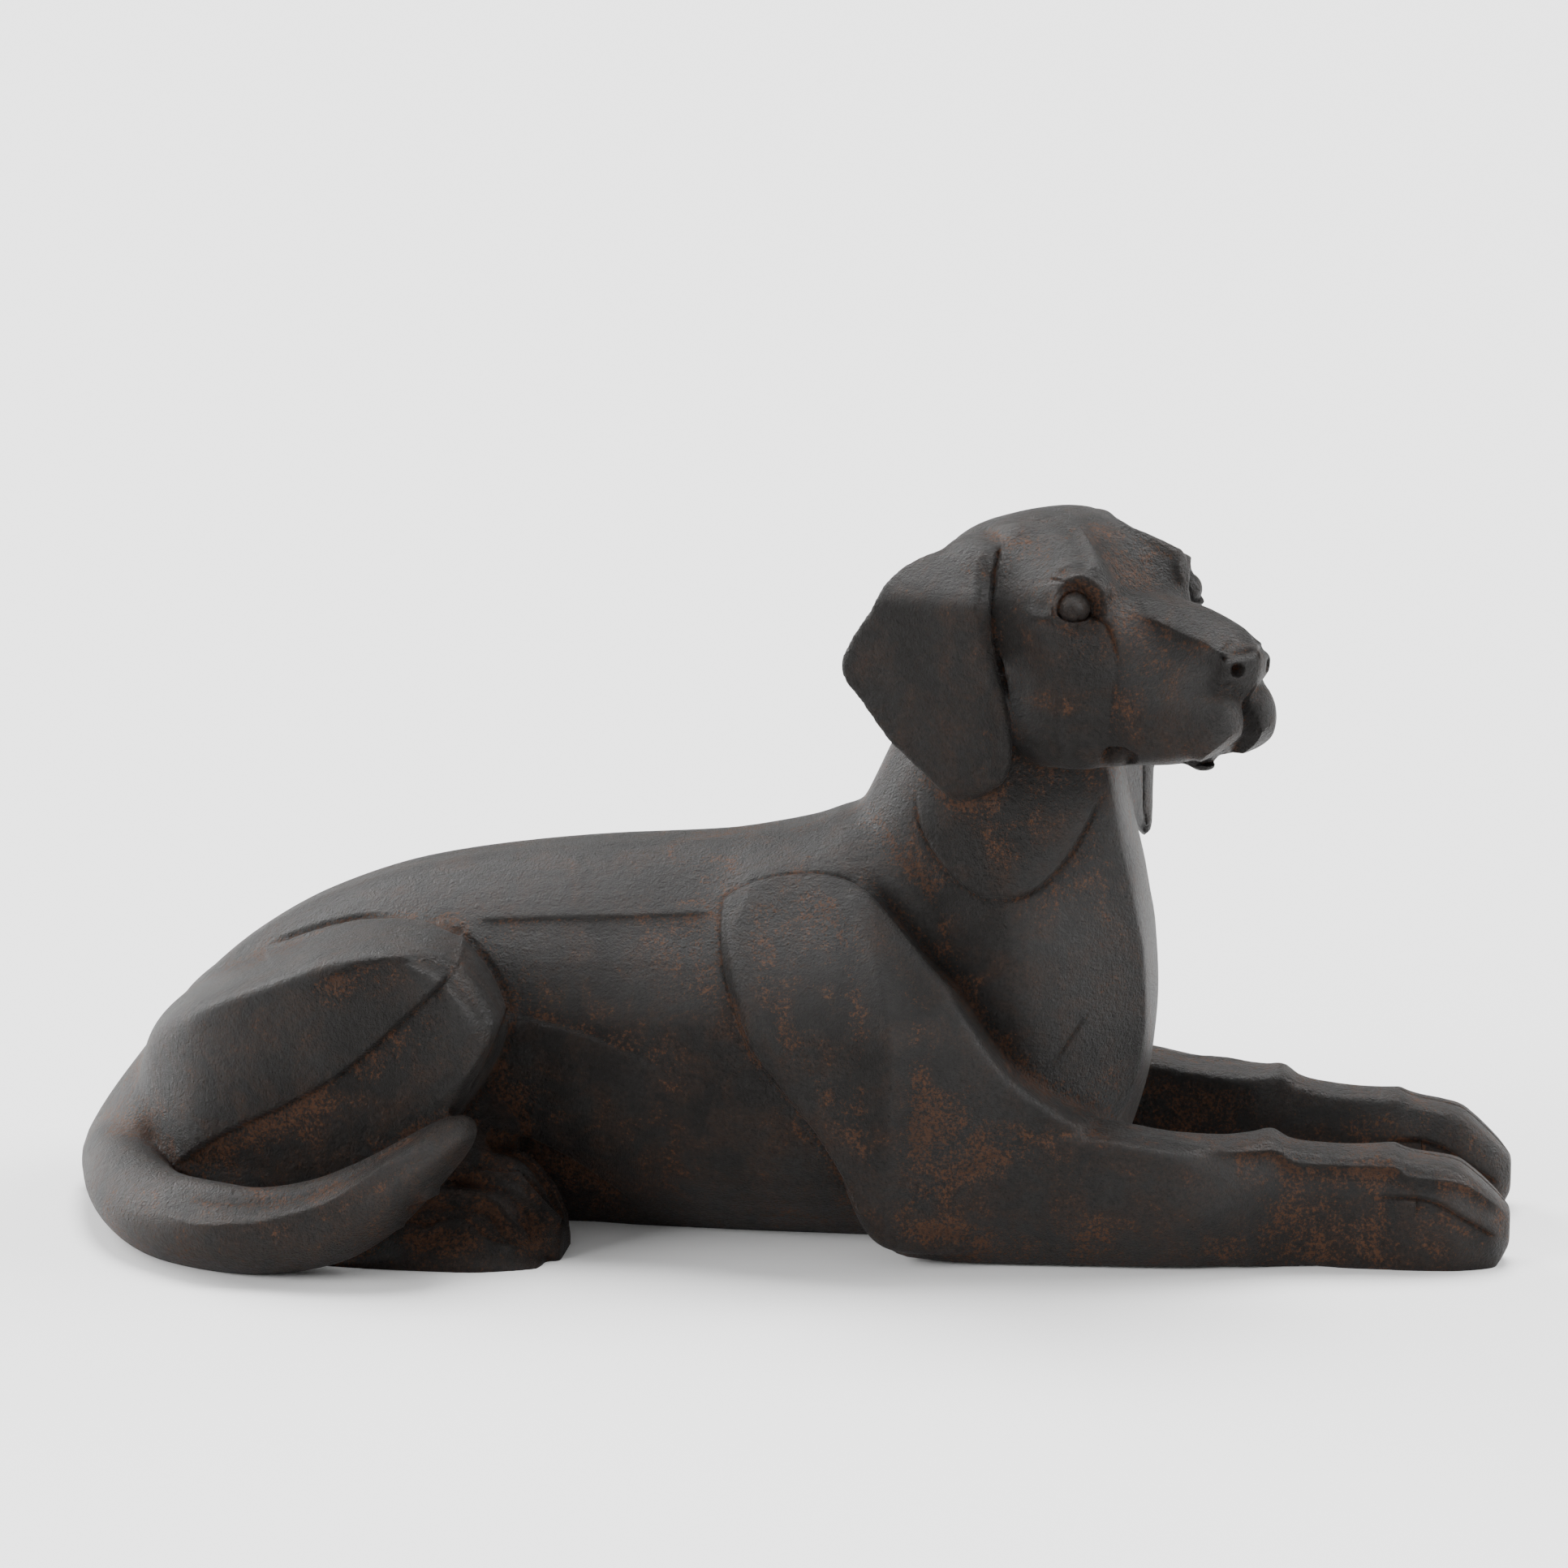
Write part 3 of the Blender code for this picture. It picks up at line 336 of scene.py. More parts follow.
def foreleg():
    rows = (
        # x, centre y, top z, band half width, outer half width, bottom half width, bottom z
        (64, -104, 44, 18, 24, 10, 24),
        (74, -104, 58, 20, 28, 12, 14),
        (90, -104, 68, 22, 30, 14, 5),
        (130, -102, 83.5, 23, 30, 14, 2),
        (205, -98, 85.5, 22, 28, 13, 2),
        (255, -94, 78.5, 22, 26, 13, 2),
        (282, -88, 77, 20, 25, 13, 2),
        (300, -81, 78.5, 17, 24, 18, 2),
        (310, -77, 81, 15, 23, 18, 1),
        (322, -74, 74, 14, 22, 18, 1),
        (340, -71, 71, 15, 22, 18, 1),
        (362, -68, 70, 15, 23, 20, -2),
        (386, -65, 71, 15, 25, 22, -4),
        (392, -65, 68, 16, 26, 22, -4),
        (424, -62, 62, 17, 26, 22, -5),
        (430, -61, 58, 17, 25, 21, -5),
        (448, -59, 42, 15, 20, 15, -2),
        (457, -58, 32, 8, 11, 7, 12),
    )

    def section(x, centre, top, band, wide, sole, bottom):
        middle = 0.6 * top + 0.4 * bottom
        low = 0.62 * bottom + 0.38 * top
        half = ((0, top + 1), (band * 0.75, top + 0.6), (band - 1, top - 0.2),
                (band + 1, top - 3), (0.3 * band + 0.7 * wide, 0.4 * top + 0.6 * middle),
                (wide, middle), (wide * 0.97, low), (sole, bottom + 1), (sole * 0.5, bottom),
                (0, bottom))
        loop = closed_spline(both_sides(half))
        return np.stack((np.full(len(loop), x), loop[:, 0] + centre, loop[:, 1]), axis=1)
    return loft(rows, 64, 457, 90, section)


def haunch():
    outline = ((-300, 173), (-268, 187), (-236, 195), (-210, 195), (-187, 187), (-170, 171),
               (-157, 149), (-159, 126), (-174, 98), (-200, 64), (-240, 38), (-300, 22),
               (-356, 22), (-396, 40), (-408, 80), (-394, 120), (-352, 150))
    bulge = curve_through(((-412, 48), (-390, 82), (-350, 120), (-295, 142), (-240, 154),
                           (-185, 159), (-150, 152)))
    seat = curve_through(((-400, 30), (-300, 52), (-235, 60), (-190, 66), (-160, 92), (-148, 98)))

    def face(x, z):
        out = bulge(x)[:, 0]
        return -(out - 0.16 * np.maximum(z - 110, 0) - 0.06 * np.maximum(90 - z, 0))

    def between(share):
        return lambda x, z: face(x, z) * share - seat(x)[:, 0] * (1 - share)
    return pad(outline, (-262, 118), ((1.0, between(-0.3)), (1.0, between(0)),
                                      (0.99, between(0.45)), (0.965, between(0.80)),
                                      (0.925, between(0.96)), (0.89, face)), face)


def tail():
    return sweep((
        (-384, 44, 48, 24, 24), (-408, 16, 37, 27, 25), (-420, -26, 29, 28, 26),
        (-408, -74, 26, 28, 27), (-390, -118, 25, 28, 28), (-364, -154, 24, 28, 28),
        (-330, -177, 25, 28, 28), (-296, -188, 26, 27, 27), (-258, -189, 33, 26, 27),
        (-228, -186, 47, 24, 25), (-207, -180, 62, 21, 21), (-189, -172, 76, 17, 17),
        (-177, -165, 85, 13, 13), (-170, -160, 89, 8, 8), (-167, -158, 90, 4, 4)),
        corner=1.75)


def toe(stations, side):
    """A hind toe: a tent-shaped bar under a ridge of (x, y, z) points."""
    def section(x, y, z):
        half = ((-2.5, z), (2.5, z), (0.5 * side + 1, 0.62 * z), (side, 0.2 * z), (side - 3, -5),
                   (3 - side, -5), (-side, 0.2 * z), (-0.5 * side - 1, 0.62 * z))
        loop = closed_spline(half)
        return np.stack((np.full(len(loop), x), loop[:, 0] + y, loop[:, 1]), axis=1)
    return loft(stations, stations[0][0], stations[-1][0], 30, section)


def hind_foot():
    """The folded shank behind the tail's tip, and the toes that come out from under it."""
    return [
        blob((-222, -122, 50), (62, 30, 46)),
        blob((-184, -94, 66), (34, 28, 34)),
        blob((-162, -120, 30), (32, 32, 34)),
        blob((-244, -148, 4), (36, 20, 16)),
        toe(((-262, -150, 8), (-240, -152, 17), (-210, -153, 26), (-172, -152, 24),
             (-142, -144, 13), (-129, -138, 5)), 19),
        toe(((-230, -146, 34), (-210, -148, 43), (-185, -148, 46), (-161, -146, 43),
             (-138, -140, 17), (-128, -136, 9)), 15),
        toe(((-210, -130, 48), (-175, -131, 57), (-147, -130, 57), (-126, -126, 30),
             (-119, -125, 17)), 15),
        toe(((-185, -114, 52), (-150, -114, 60), (-127, -112, 40), (-119, -112, 22)), 13),
    ]


# The head, in its own axes

def skull():
    rows = (
        # forward, crown, furrow foot (r, u), crest (r, u), outer edge (r, u), temple (r, u),
        # side (r, u), cheek (r, u), jaw (r, u), under
        (-146, 6, 4, 6, 6, 5, 8, 4, 10, 1, 14, -12, 12, -30, 6, -42, -45),
        (-133, 25, 10, 24.5, 15, 23.5, 21, 21, 27, 16, 46, -10, 39, -50, 22, -78, -82),
        (-100, 40, 12, 39.6, 20, 38.5, 30, 36, 41, 30, 64, -5, 59, -55, 42, -94, -99),
        (-62, 48, 10, 47.8, 18, 47, 28, 45, 43, 38, 66, -4, 64, -58, 55, -97, -105),
        (-45, 45, 6, 45, 11, 45.3, 18, 43.8, 38, 35.5, 65, 2, 64.5, -55, 57, -96, -105),
        (-32, 39, 4, 38.8, 12, 40.3, 17, 39, 38, 32, 63.5, 4, 63.5, -52, 57.5, -95, -104),
        (-23, 33.5, 6, 33.8, 17.5, 37, 22.5, 35.4, 41, 29.5, 62.5, 4, 63, -50, 57, -95, -104),
        (-16, 28, 8, 28.6, 21.5, 34.4, 28, 32.6, 45, 26.5, 62, 4, 62, -50, 56, -95, -103),
        (-10, 22.5, 10, 23.2, 25.2, 32, 33, 29.3, 48, 23.5, 61, 3, 61, -49, 55, -95, -103),
        (-4, 17, 12, 17.6, 29, 29.4, 38, 26, 51, 20.5, 59, 2, 60, -48, 54, -95, -102),
        (1, 12, 14, 12.6, 32, 27, 41, 23, 51, 18.5, 55.5, 0, 57.5, -47, 49, -96, -101),
        (5.5, 8.5, 16.5, 8.8, 34, 25, 42.5, 21, 48, 16, 48.5, -3, 56, -47, 48, -94, -101),
        (8.5, 6.5, 19, 6.8, 28.5, 11, 38, 16, 45, 14, 45, -6, 54, -48, 47.5, -92, -100),
        (12, 5, 18, 5, 24.5, 3.2, 32, 8, 39, 4, 42.5, -11, 52, -49, 46, -90, -99.5),
        (17, 4.5, 12, 4, 19, 1.2, 25.5, -2.5, 32, -7, 39, -18, 49.5, -51, 44, -88, -98.5),
        (26, 4, 11, 3, 17, -0.2, 22.3, -4.7, 26, -10, 35, -23, 45, -55, 40, -86, -97),
        (37, 3, 10, 1.7, 15.5, -2.2, 20.3, -7.2, 22.8, -12.5, 32, -28, 42, -58, 38, -84.5, -95.5),
        (50, 2, 9, 0.5, 14.5, -4.4, 19.3, -10.4, 21, -16, 30, -33, 39.5, -61, 36, -83.5, -93.5),
        (62, 0, 9, -1.8, 14, -7.2, 18.6, -13.6, 20.5, -20, 30, -38, 38, -62, 33.5, -82, -90.5),
        (75, -3.5, 9, -5.3, 14, -10.6, 18.2, -16.9, 20, -23.5, 28.5, -40, 35, -62, 29, -80, -86),
        (86, -7, 9, -9.2, 14, -14.2, 18, -19.6, 19.5, -26.5, 24.5, -42, 29.5, -62, 24, -77, -80),
        (94, -12, 6, -14, 10, -18, 13, -23, 14, -29, 14, -42, 16, -58, 12, -66, -68),
    )

    def section(forward, crown, *rest):
        *pairs, under = rest
        half = [(0, crown)] + list(zip(pairs[::2], pairs[1::2]))
        half += [(half[-1][0] * 0.6, under), (0, under)]
        loop = closed_spline(both_sides(cornered(half, (2, 3), 0.22)), 144)
        return np.insert(loop, 0, forward, axis=1)
    return loft(rows, -146, 94, 120, section)


def nose():
    """The pad of the nose in plan outlines, one above the other: wings, and a ridge in front."""
    rows = (
        # up, half width behind, wing (f, r), front of the wing (f, r), flank (f, r), tip
        (-50, 6, 89, 5, 93, 4, 95, 2, 96),
        (-45, 10, 90, 9, 94, 7.5, 98, 4, 100.5),
        (-40, 15, 90, 15, 95, 13, 100, 6, 103.5),
        (-37, 18, 89, 19, 96, 17, 101, 8.5, 104.5),
        (-32, 18.5, 88, 20, 97.5, 18.5, 102.5, 9, 106),
        (-26, 18.5, 90, 19.8, 98, 18.5, 103.5, 9, 107),
        (-20.5, 18, 91, 19.5, 96.5, 17, 103, 8, 107),
        (-18.8, 17, 90.5, 16, 95.5, 13, 102.5, 7, 106.5),
        (-17, 14, 90, 11, 94, 8.5, 101.5, 5.2, 105.5),
        (-15, 10, 88, 7, 92, 5, 98, 3.2, 102),
    )

    def section(up, behind, wing_f, wing_r, front_f, front_r, flank_f, flank_r, tip):
        half = ((60, 0), (62, behind), (wing_f, wing_r), (front_f, front_r), (flank_f, flank_r),
                (tip - 0.6, 1.6), (tip, 0))
        loop = closed_spline([*half, *((forward, -side) for forward, side in half[-2:0:-1])])
        return np.insert(loop, 2, up, axis=1)
    return loft(rows, -50, -15, 36, section)


def ear(outline, ridge, centre, side):
    """A flap that hangs from the skull, flares away behind and has a bevel along its front."""
    front = curve_through(ridge)

    def face(forward, up):
        flare = 0.40 * np.maximum(-43 - forward, 0)
        bevel = 2.0 * np.maximum(forward - front(up)[:, 0], 0)
        tuck = 0.026 * np.maximum(up + 10, 0) ** 2
        return side * (77 + flare - np.minimum(bevel, 9) - tuck + 0.02 * np.maximum(-up, 0))

    def inset(depth):
        return lambda forward, up: face(forward, up) - side * depth
    inner = [(scale, inset(EAR_THICKNESS)) for scale in np.linspace(0.02, 0.94, 12)]
    return pad(outline, centre, (*inner, (0.99, inset(EAR_THICKNESS - 3)), (1.0, inset(3.5)),
                                 (0.985, inset(1)), (0.96, face)), face)


def head():
    near_ear = ((-69, 29), (-65, 20), (-57, 9), (-51.5, 0), (-48, -12), (-46.5, -24), (-42, -44),
                (-36, -56), (-31.5, -69), (-28.5, -80), (-28, -90), (-28.5, -99), (-32, -108),
                (-38, -114), (-51, -120), (-66, -124), (-82, -113), (-97, -101), (-108, -91),
                (-118, -78), (-128, -65), (-135, -57), (-138, -45), (-129, -25), (-119, -9),
                (-115, 7), (-109, 22), (-100, 27), (-93, 32), (-84, 35), (-75, 34))
    near_ridge = ((-140, -20), (-56, -34), (-44, -43), (-24, -49.5), (-12, -52), (0, -56),
                  (9, -61.5), (20, -69), (40, -80))
    far_ear = ((-67, 26), (-50, 8), (-43, -20), (-48, -70), (-57, -120), (-61, -155), (-65, -168),
               (-73, -174), (-84, -165), (-107, -120), (-128, -70), (-138, -44), (-117, -6),
               (-107, 22), (-90, 32), (-76, 32))
    far_ridge = ((-180, -66), (-120, -62), (-70, -53), (-20, -49), (8, -57), (40, -80))
    parts = [skull(), nose(), blob((55, 0, -84), (27, 15, 12)), blob((61, 0, -92), (10, 9, 6.5)),
             ear(near_ear, near_ridge, (-78, -42), 1), ear(far_ear, far_ridge, (-82, -50), -1)]
    for side in (1, -1):
        parts.append(blob((EYE_PLACE[0], side * EYE_PLACE[1], EYE_PLACE[2]), (EYE_RADIUS,) * 3))
        parts.append(blob((76, side * 15.5, -63), (27, 18, 25.5), side * -0.08))
        parts.append(blob((-84, side * 50, 14), (30, 20, 20), side * 0.2))
    return [in_head(part) for part in parts]


# Fusing and carving

def fuse(parts, voxel, name):
    """Joins closed shells and remeshes them into one skin."""
    mesh = bpy.data.meshes.new(name)
    points = []
    faces = []
    for part_points, part_faces in parts:
        offset = sum(len(block) for block in points)
        points.append(part_points)
        faces.extend(tuple(offset + index for index in face) for face in part_faces)
    mesh.from_pydata((np.concatenate(points) * UNIT).tolist(), [], faces)
    body = bpy.data.objects.new(name, mesh)
    bpy.context.scene.collection.objects.link(body)
    remesh = body.modifiers.new("Fuse", "REMESH")
    remesh.mode = "VOXEL"
    remesh.voxel_size = voxel
    remesh.adaptivity = 0.0
    apply_modifiers(body)
    keep_largest(body)
    return body


def apply_modifiers(body):
    """Replaces an object's mesh by what its modifiers make of it."""
    depsgraph = bpy.context.evaluated_depsgraph_get()
    result = bpy.data.meshes.new_from_object(body.evaluated_get(depsgraph))
    old = body.data
    body.modifiers.clear()
    body.data = result
    bpy.data.meshes.remove(old)


class Skin:
    """The vertices of the fused skin, in units, with what carving needs of them."""

    def __init__(self, body):
        self.mesh = body.data
        count = len(self.mesh.vertices)
        flat = np.empty(count * 3)
        self.mesh.vertices.foreach_get("co", flat)
        self.points = flat.reshape(-1, 3) / UNIT
        edges = np.empty(len(self.mesh.edges) * 2, np.int64)
        self.mesh.edges.foreach_get("vertices", edges)
        self.edges = edges.reshape(-1, 2)
        self.degree = np.maximum(np.bincount(edges, minlength=count), 1)

    def write(self):
        self.mesh.vertices.foreach_set("co", (self.points * UNIT).ravel())
        self.mesh.update()

    def normals(self):
        self.write()
        flat = np.empty(len(self.points) * 3)
        self.mesh.vertex_normals.foreach_get("vector", flat)
        return flat.reshape(-1, 3)

    def means(self):
        """The mean of each vertex's neighbours."""
        first, second = self.edges[:, 0], self.edges[:, 1]
        total = np.empty_like(self.points)
        for axis in range(3):
            column = self.points[:, axis]
            total[:, axis] = (np.bincount(first, column[second], len(column))
                              + np.bincount(second, column[first], len(column)))
        return total / self.degree[:, None]

    def relax(self, rounds, weight=1.0):
        """Moves each vertex towards the mean of its neighbours, by its weight."""
        weight = np.broadcast_to(np.asarray(weight, float), len(self.points))[:, None]
        for _ in range(rounds):
            self.points += 0.6 * weight * (self.means() - self.points)


def along(path, flat, margin):
    """Signed distance from each flat point to a line, left positive, and the share along it.

    Points farther than the margin from the line's box are left out as very far away.
    """
    path = np.asarray(path, float)
    near = ((flat > path.min(axis=0) - margin) & (flat < path.max(axis=0) + margin)).all(axis=1)
    inside = flat[near]
    best = np.full(len(inside), 1e9)
    signed = np.full(len(inside), 1e9)
    share = np.zeros(len(inside))
    length = np.linalg.norm(np.diff(path, axis=0), axis=1)
    start = np.concatenate(((0.0,), np.cumsum(length)))
    for index in range(len(path) - 1):
        base, step = path[index], path[index + 1] - path[index]
        offset = inside - base
        t = np.clip(offset @ step / (step @ step), 0, 1)
        gap = offset - t[:, None] * step
        distance = np.hypot(gap[:, 0], gap[:, 1])
        closer = distance < best
        best = np.where(closer, distance, best)
        turn = step[0] * offset[:, 1] - step[1] * offset[:, 0]
        signed = np.where(closer, np.where(turn >= 0, distance, -distance), signed)
        share = np.where(closer, (start[index] + t * length[index]) / start[-1], share)
    all_signed = np.full(len(flat), 1e9)
    all_share = np.zeros(len(flat))
    all_signed[near] = signed
    all_share[near] = share
    return all_signed, all_share


def line(points):
    """A smooth open line through the given points."""
    path = curve_through([(index, *point) for index, point in enumerate(points)])
    return path(np.linspace(0, len(points) - 1, LINE_STEPS * (len(points) - 1) + 1))


def end_fade(share, first, last):
    """Rises over the first share of a line and falls over its last share."""
    return smooth_step(0, first, share) * (1 - smooth_step(1 - last, 1, share))


def ledge(flat, path, height, fade, ends):
    """A raised step on the left of a line that dies out at the fade distance."""
    signed, share = along(path, flat, fade)
    shape = smooth_step(-LEDGE_EDGE / 2, LEDGE_EDGE / 2, signed)
    shape = shape * (1 - smooth_step(0.15 * fade, fade, signed))
    return height * shape * end_fade(share, *ends)


def crease(flat, path, height, width, ends=(0.1, 0.1)):
    """A tent along a line: raised where the height is positive, a groove where it is not."""
    signed, share = along(path, flat, width)
    shape = np.clip(1 - np.abs(signed) / width, 0, 1) ** 1.3
    return height * shape * end_fade(share, *ends)


def carved(flat, *rows):
    """The sum of several carved lines, each a shape, its line and its measures."""
    return sum(shape(flat, *measures) for shape, *measures in rows)


def carve_body(skin):
    """The carved lines of the body, drawn as its near side is seen and mirrored to the far side."""
    normals = skin.normals()
    x, y, z = skin.points.T
    beside = np.abs(y)
    fold = np.ones_like(skin.points)
    fold[:, 1] = np.where(y > 0, -1, 1)
    flat = in_picture(skin.points * fold)
    neck = (x > 40) & (z > 100) & (z < 300) & (beside < 125)
    out = np.zeros(len(x))
    for share, lines in (
            ((beside < 126) & (x > -190) & (x < 20), flank_lines),
            ((x < -140) & (beside > 20) & ((beside < 163) | (y > 0)), haunch_lines),
            ((y < 0) & (beside > 148) & (z < 112) & (x < -150), tail_lines),
            ((x < -105) & (x > -275) & (beside > 90) & (z < 76), hind_foot_lines),
            ((beside > 62) & (x > -40) & (x < 260) & (z < 245), shoulder_lines),
            (neck, chest_lines),
            (neck * (1 - smooth_step(258, 290, z)), lobe_lines),
            ((x > 150) & (z > 20) & (z < 100) & (beside > 40), foreleg_lines)):
        out += share * lines(flat)
    shown = smooth_step(0.03, 0.22, facing_camera(normals * fold))
    skin.points += normals * (out * shown)[:, None]


def flank_lines(flat):
    back = drawn(((580, 1134), (650, 1131), (700, 1130), (760, 1129), (820, 1127), (884, 1124)))
    facet = drawn(((632, 1250), (680, 1262), (720, 1274), (760, 1290), (800, 1310), (840, 1335)))
    foot = drawn(((600, 1385), (650, 1402), (700, 1427), (750, 1460), (800, 1492)))
    return carved(
        flat,
        (ledge, back[::-1], -1.0, 30, (0.1, 0.1)),
        (ledge, facet[::-1], 2.4, 60, (0.3, 0.1)),
        (ledge, foot[::-1], -3.0, 50, (0.3, 0.05)))


def haunch_lines(flat):
    top = drawn(((322, 1168), (350, 1157), (380, 1146), (420, 1135), (450, 1130), (490, 1129),
                 (520, 1132), (545, 1140), (572, 1150)))
    knee = drawn(((572, 1150), (592, 1172), (610, 1197), (622, 1222), (628, 1242), (622, 1262),
                  (610, 1292), (592, 1328), (575, 1352)))
    crest = drawn(((372, 1222), (400, 1206), (430, 1193), (470, 1183), (520, 1178), (545, 1182),
                   (564, 1191)))
    s_line = drawn(((564, 1188), (545, 1210), (500, 1253), (460, 1290), (420, 1323), (380, 1348),
                    (330, 1372), (280, 1395), (240, 1418), (213, 1438)))
    edge = drawn(((564, 1191), (582, 1212), (598, 1235), (605, 1255), (602, 1275), (590, 1300),
                  (570, 1328), (545, 1350), (518, 1371)))
    fold = drawn(((572, 1150), (568, 1170), (563, 1190)))
    return carved(
        flat,
        (crease, top, -3.2, 3.0, (0.15, 0.02)),
        (ledge, top[::-1], 1.6, 16, (0.2, 0.02)),
        (crease, knee, -3.0, 3.0, (0.02, 0.1)),
        (ledge, crest[::-1], -3.0, 34, (0.02, 0.25)),
        (ledge, s_line, -3.2, 44, (0.04, 0.06)),
        (crease, s_line, -1.6, 2.0, (0.05, 0.05)),
        (crease, edge, 2.2, 5.0, (0.02, 0.1)),
        (crease, fold, 1.0, 4.0, (0.02, 0.02)))


def tail_lines(flat):
    ridge = drawn(((185, 1482), (215, 1503), (250, 1510), (300, 1509), (350, 1500), (400, 1485),
                   (440, 1462), (480, 1435), (520, 1410), (550, 1396)))
    hollow = drawn(((195, 1450), (230, 1474), (280, 1482), (330, 1480), (380, 1470), (430, 1447),
                    (480, 1414), (530, 1388)))
    return carved(
        flat,
        (crease, ridge, 2.6, 8.0, (0.2, 0.1)),
        (crease, hollow, -2.4, 9.0, (0.2, 0.1)))


def hind_foot_lines(flat):
    low = drawn(((516, 1478), (538, 1467), (560, 1468), (590, 1472), (609, 1477), (620, 1489),
                 (636, 1511), (653, 1533)))
    high = drawn(((572, 1440), (600, 1446), (620, 1449), (637, 1448), (652, 1464), (672, 1486),
                  (692, 1507)))
    top = drawn(((630, 1436), (640, 1441), (660, 1459), (682, 1481)))
    under_high = drawn(((548, 1455), (580, 1457), (612, 1462), (632, 1476), (655, 1501), (674, 1519)))
    under_low = drawn(((496, 1493), (530, 1487), (570, 1489), (598, 1493), (616, 1509), (634, 1531)))
    under_top = drawn(((640, 1446), (655, 1459), (675, 1480), (692, 1497)))
    plane = drawn(((483, 1505), (510, 1509), (525, 1512), (545, 1505), (566, 1503), (585, 1513),
                   (604, 1529), (640, 1536)))
    return carved(
        flat,
        (crease, low, 3.4, 4.0, (0.05, 0.1)),
        (crease, high, 3.0, 2.6, (0.1, 0.05)),
        (crease, top, 1.6, 2.0, (0.1, 0.2)),
        (crease, under_high, -3.0, 6.0, (0.1, 0.2)),
        (crease, under_low, -3.4, 6.0, (0.1, 0.2)),
        (crease, under_top, -1.6, 3.0, (0.1, 0.2)),
        (ledge, plane[::-1], 1.8, 10, (0.1, 0.1)))


def shoulder_lines(flat):
    plate = drawn(((1062, 1502), (1052, 1482), (1040, 1455), (1020, 1420), (1000, 1390),
                   (970, 1355), (941, 1320), (921, 1290), (906, 1250), (896, 1215), (889, 1180),
                   (887, 1140), (891, 1110), (920, 1090), (960, 1079), (1000, 1076), (1035, 1081),
                   (1065, 1097), (1090, 1120), (1120, 1154), (1150, 1192), (1185, 1230)))
    ridge = drawn(((1040, 1083), (1060, 1130), (1075, 1170), (1085, 1210), (1092, 1250),
                   (1097, 1300), (1098, 1350), (1095, 1400), (1093, 1450)))
    return carved(
        flat,
        (ledge, plate[::-1], 1.8, 24, (0.02, 0.02)),
        (crease, plate, -1.6, 2.0, (0.03, 0.03)),
        (crease, ridge, 3.0, 18.0, (0.1, 0.2)))


def chest_lines(flat):
    channel = drawn(((1045, 1070), (1075, 1090), (1105, 1120), (1135, 1158), (1165, 1196),
                     (1188, 1222)))
    fold = drawn(((1348, 1236), (1335, 1257), (1320, 1279), (1305, 1302), (1290, 1325)))
    return carved(
        flat,
        (crease, channel, -3.4, 9.0, (0.35, 0.35)),
        (crease, fold, -1.0, 1.6, (0.3, 0.4)))


def lobe_lines(flat):
    """The fold of the neck that hangs below the ear."""
    lobe = drawn(((1133, 965), (1130, 985), (1133, 1010), (1145, 1040), (1165, 1070),
                  (1190, 1095), (1215, 1107), (1245, 1108), (1275, 1098), (1300, 1075),
                  (1320, 1050), (1340, 1015), (1355, 985), (1378, 956)))
    return carved(flat, (ledge, lobe, 3.0, 46, (0.02, 0.1)), (crease, lobe, -1.8, 2.4))


def foreleg_lines(flat):
    band = drawn(((1318, 1383), (1366, 1395), (1415, 1402), (1475, 1414), (1520, 1420), (1567, 1418),
                  (1600, 1434), (1660, 1437), (1718, 1439), (1735, 1450), (1797, 1458), (1862, 1500)))
    return carved(
        flat,
        (crease, band, 1.3, 3.0, (0.1, 0.05)),
        (ledge, band[::-1], -1.0, 14, (0.1, 0.05)))


def carve_toes(skin):
    """Grooves between the toes of both forepaws."""
    x, y, z = skin.points.T
    normals = skin.normals()
    from_centre = np.abs(y) - np.interp(x, (386, 457), (65, 58))
    paw = smooth_step(384, 392, x)
    top = np.clip(normals[:, 2], 0, 1) ** 0.5
    place = np.where(y < 0, -4.0, 4.0)
    out = -2.4 * paw * top * np.clip(1 - np.abs(from_centre - place) / 1.8, 0, 1)
    side_line = line(((370, 44), (384, 46), (398, 46.5), (411, 44), (430, 33), (450, 20)))
    flat = np.stack((x, z), axis=1)
    facing = smooth_step(0.4, 0.8, np.abs(normals[:, 1]))
    out += (x > 360) * crease(flat, side_line, -2.2, 2.0, (0.3, 0.1)) * facing
    out += (x > 400) * ledge(flat, side_line[::-1], -1.4, 16, (0.1, 0.4)) * facing
    skin.points += normals * out[:, None]


def in_head_axes(points):
    """Forward, side and up of each point in the head's own axes."""
    return (points - HEAD_ORIGIN) @ HEAD_AXES.T


def facing_camera(normals):
    """How squarely each normal faces the camera: 1 straight at it, 0 edge-on."""
    return normals @ np.array(direction(CAMERA_AZIMUTH, CAMERA_ELEVATION))


def in_picture(points):
    """Where the camera sees points: right and up in the photograph, in units."""
    back = np.array(direction(CAMERA_AZIMUTH, CAMERA_ELEVATION))
    right = np.array((cos(CAMERA_AZIMUTH), sin(CAMERA_AZIMUTH), 0))
    over = np.cross(back, right)
    offset = points * UNIT - np.array(CAMERA_AIM)
    scale = CAMERA_FOCUS / (CAMERA_DISTANCE - offset @ back) / PHOTO_PIXELS_PER_UNIT
    centre = PHOTO_SIZE / 2 / PHOTO_PIXELS_PER_UNIT
    return np.stack((centre + scale * (offset @ right), scale * (offset @ over) - centre), axis=1)


def drawn(points):
    """A smooth line through pixels of the photograph, in the units of in_picture."""
    return line([(x / PHOTO_PIXELS_PER_UNIT, -y / PHOTO_PIXELS_PER_UNIT) for x, y in points])


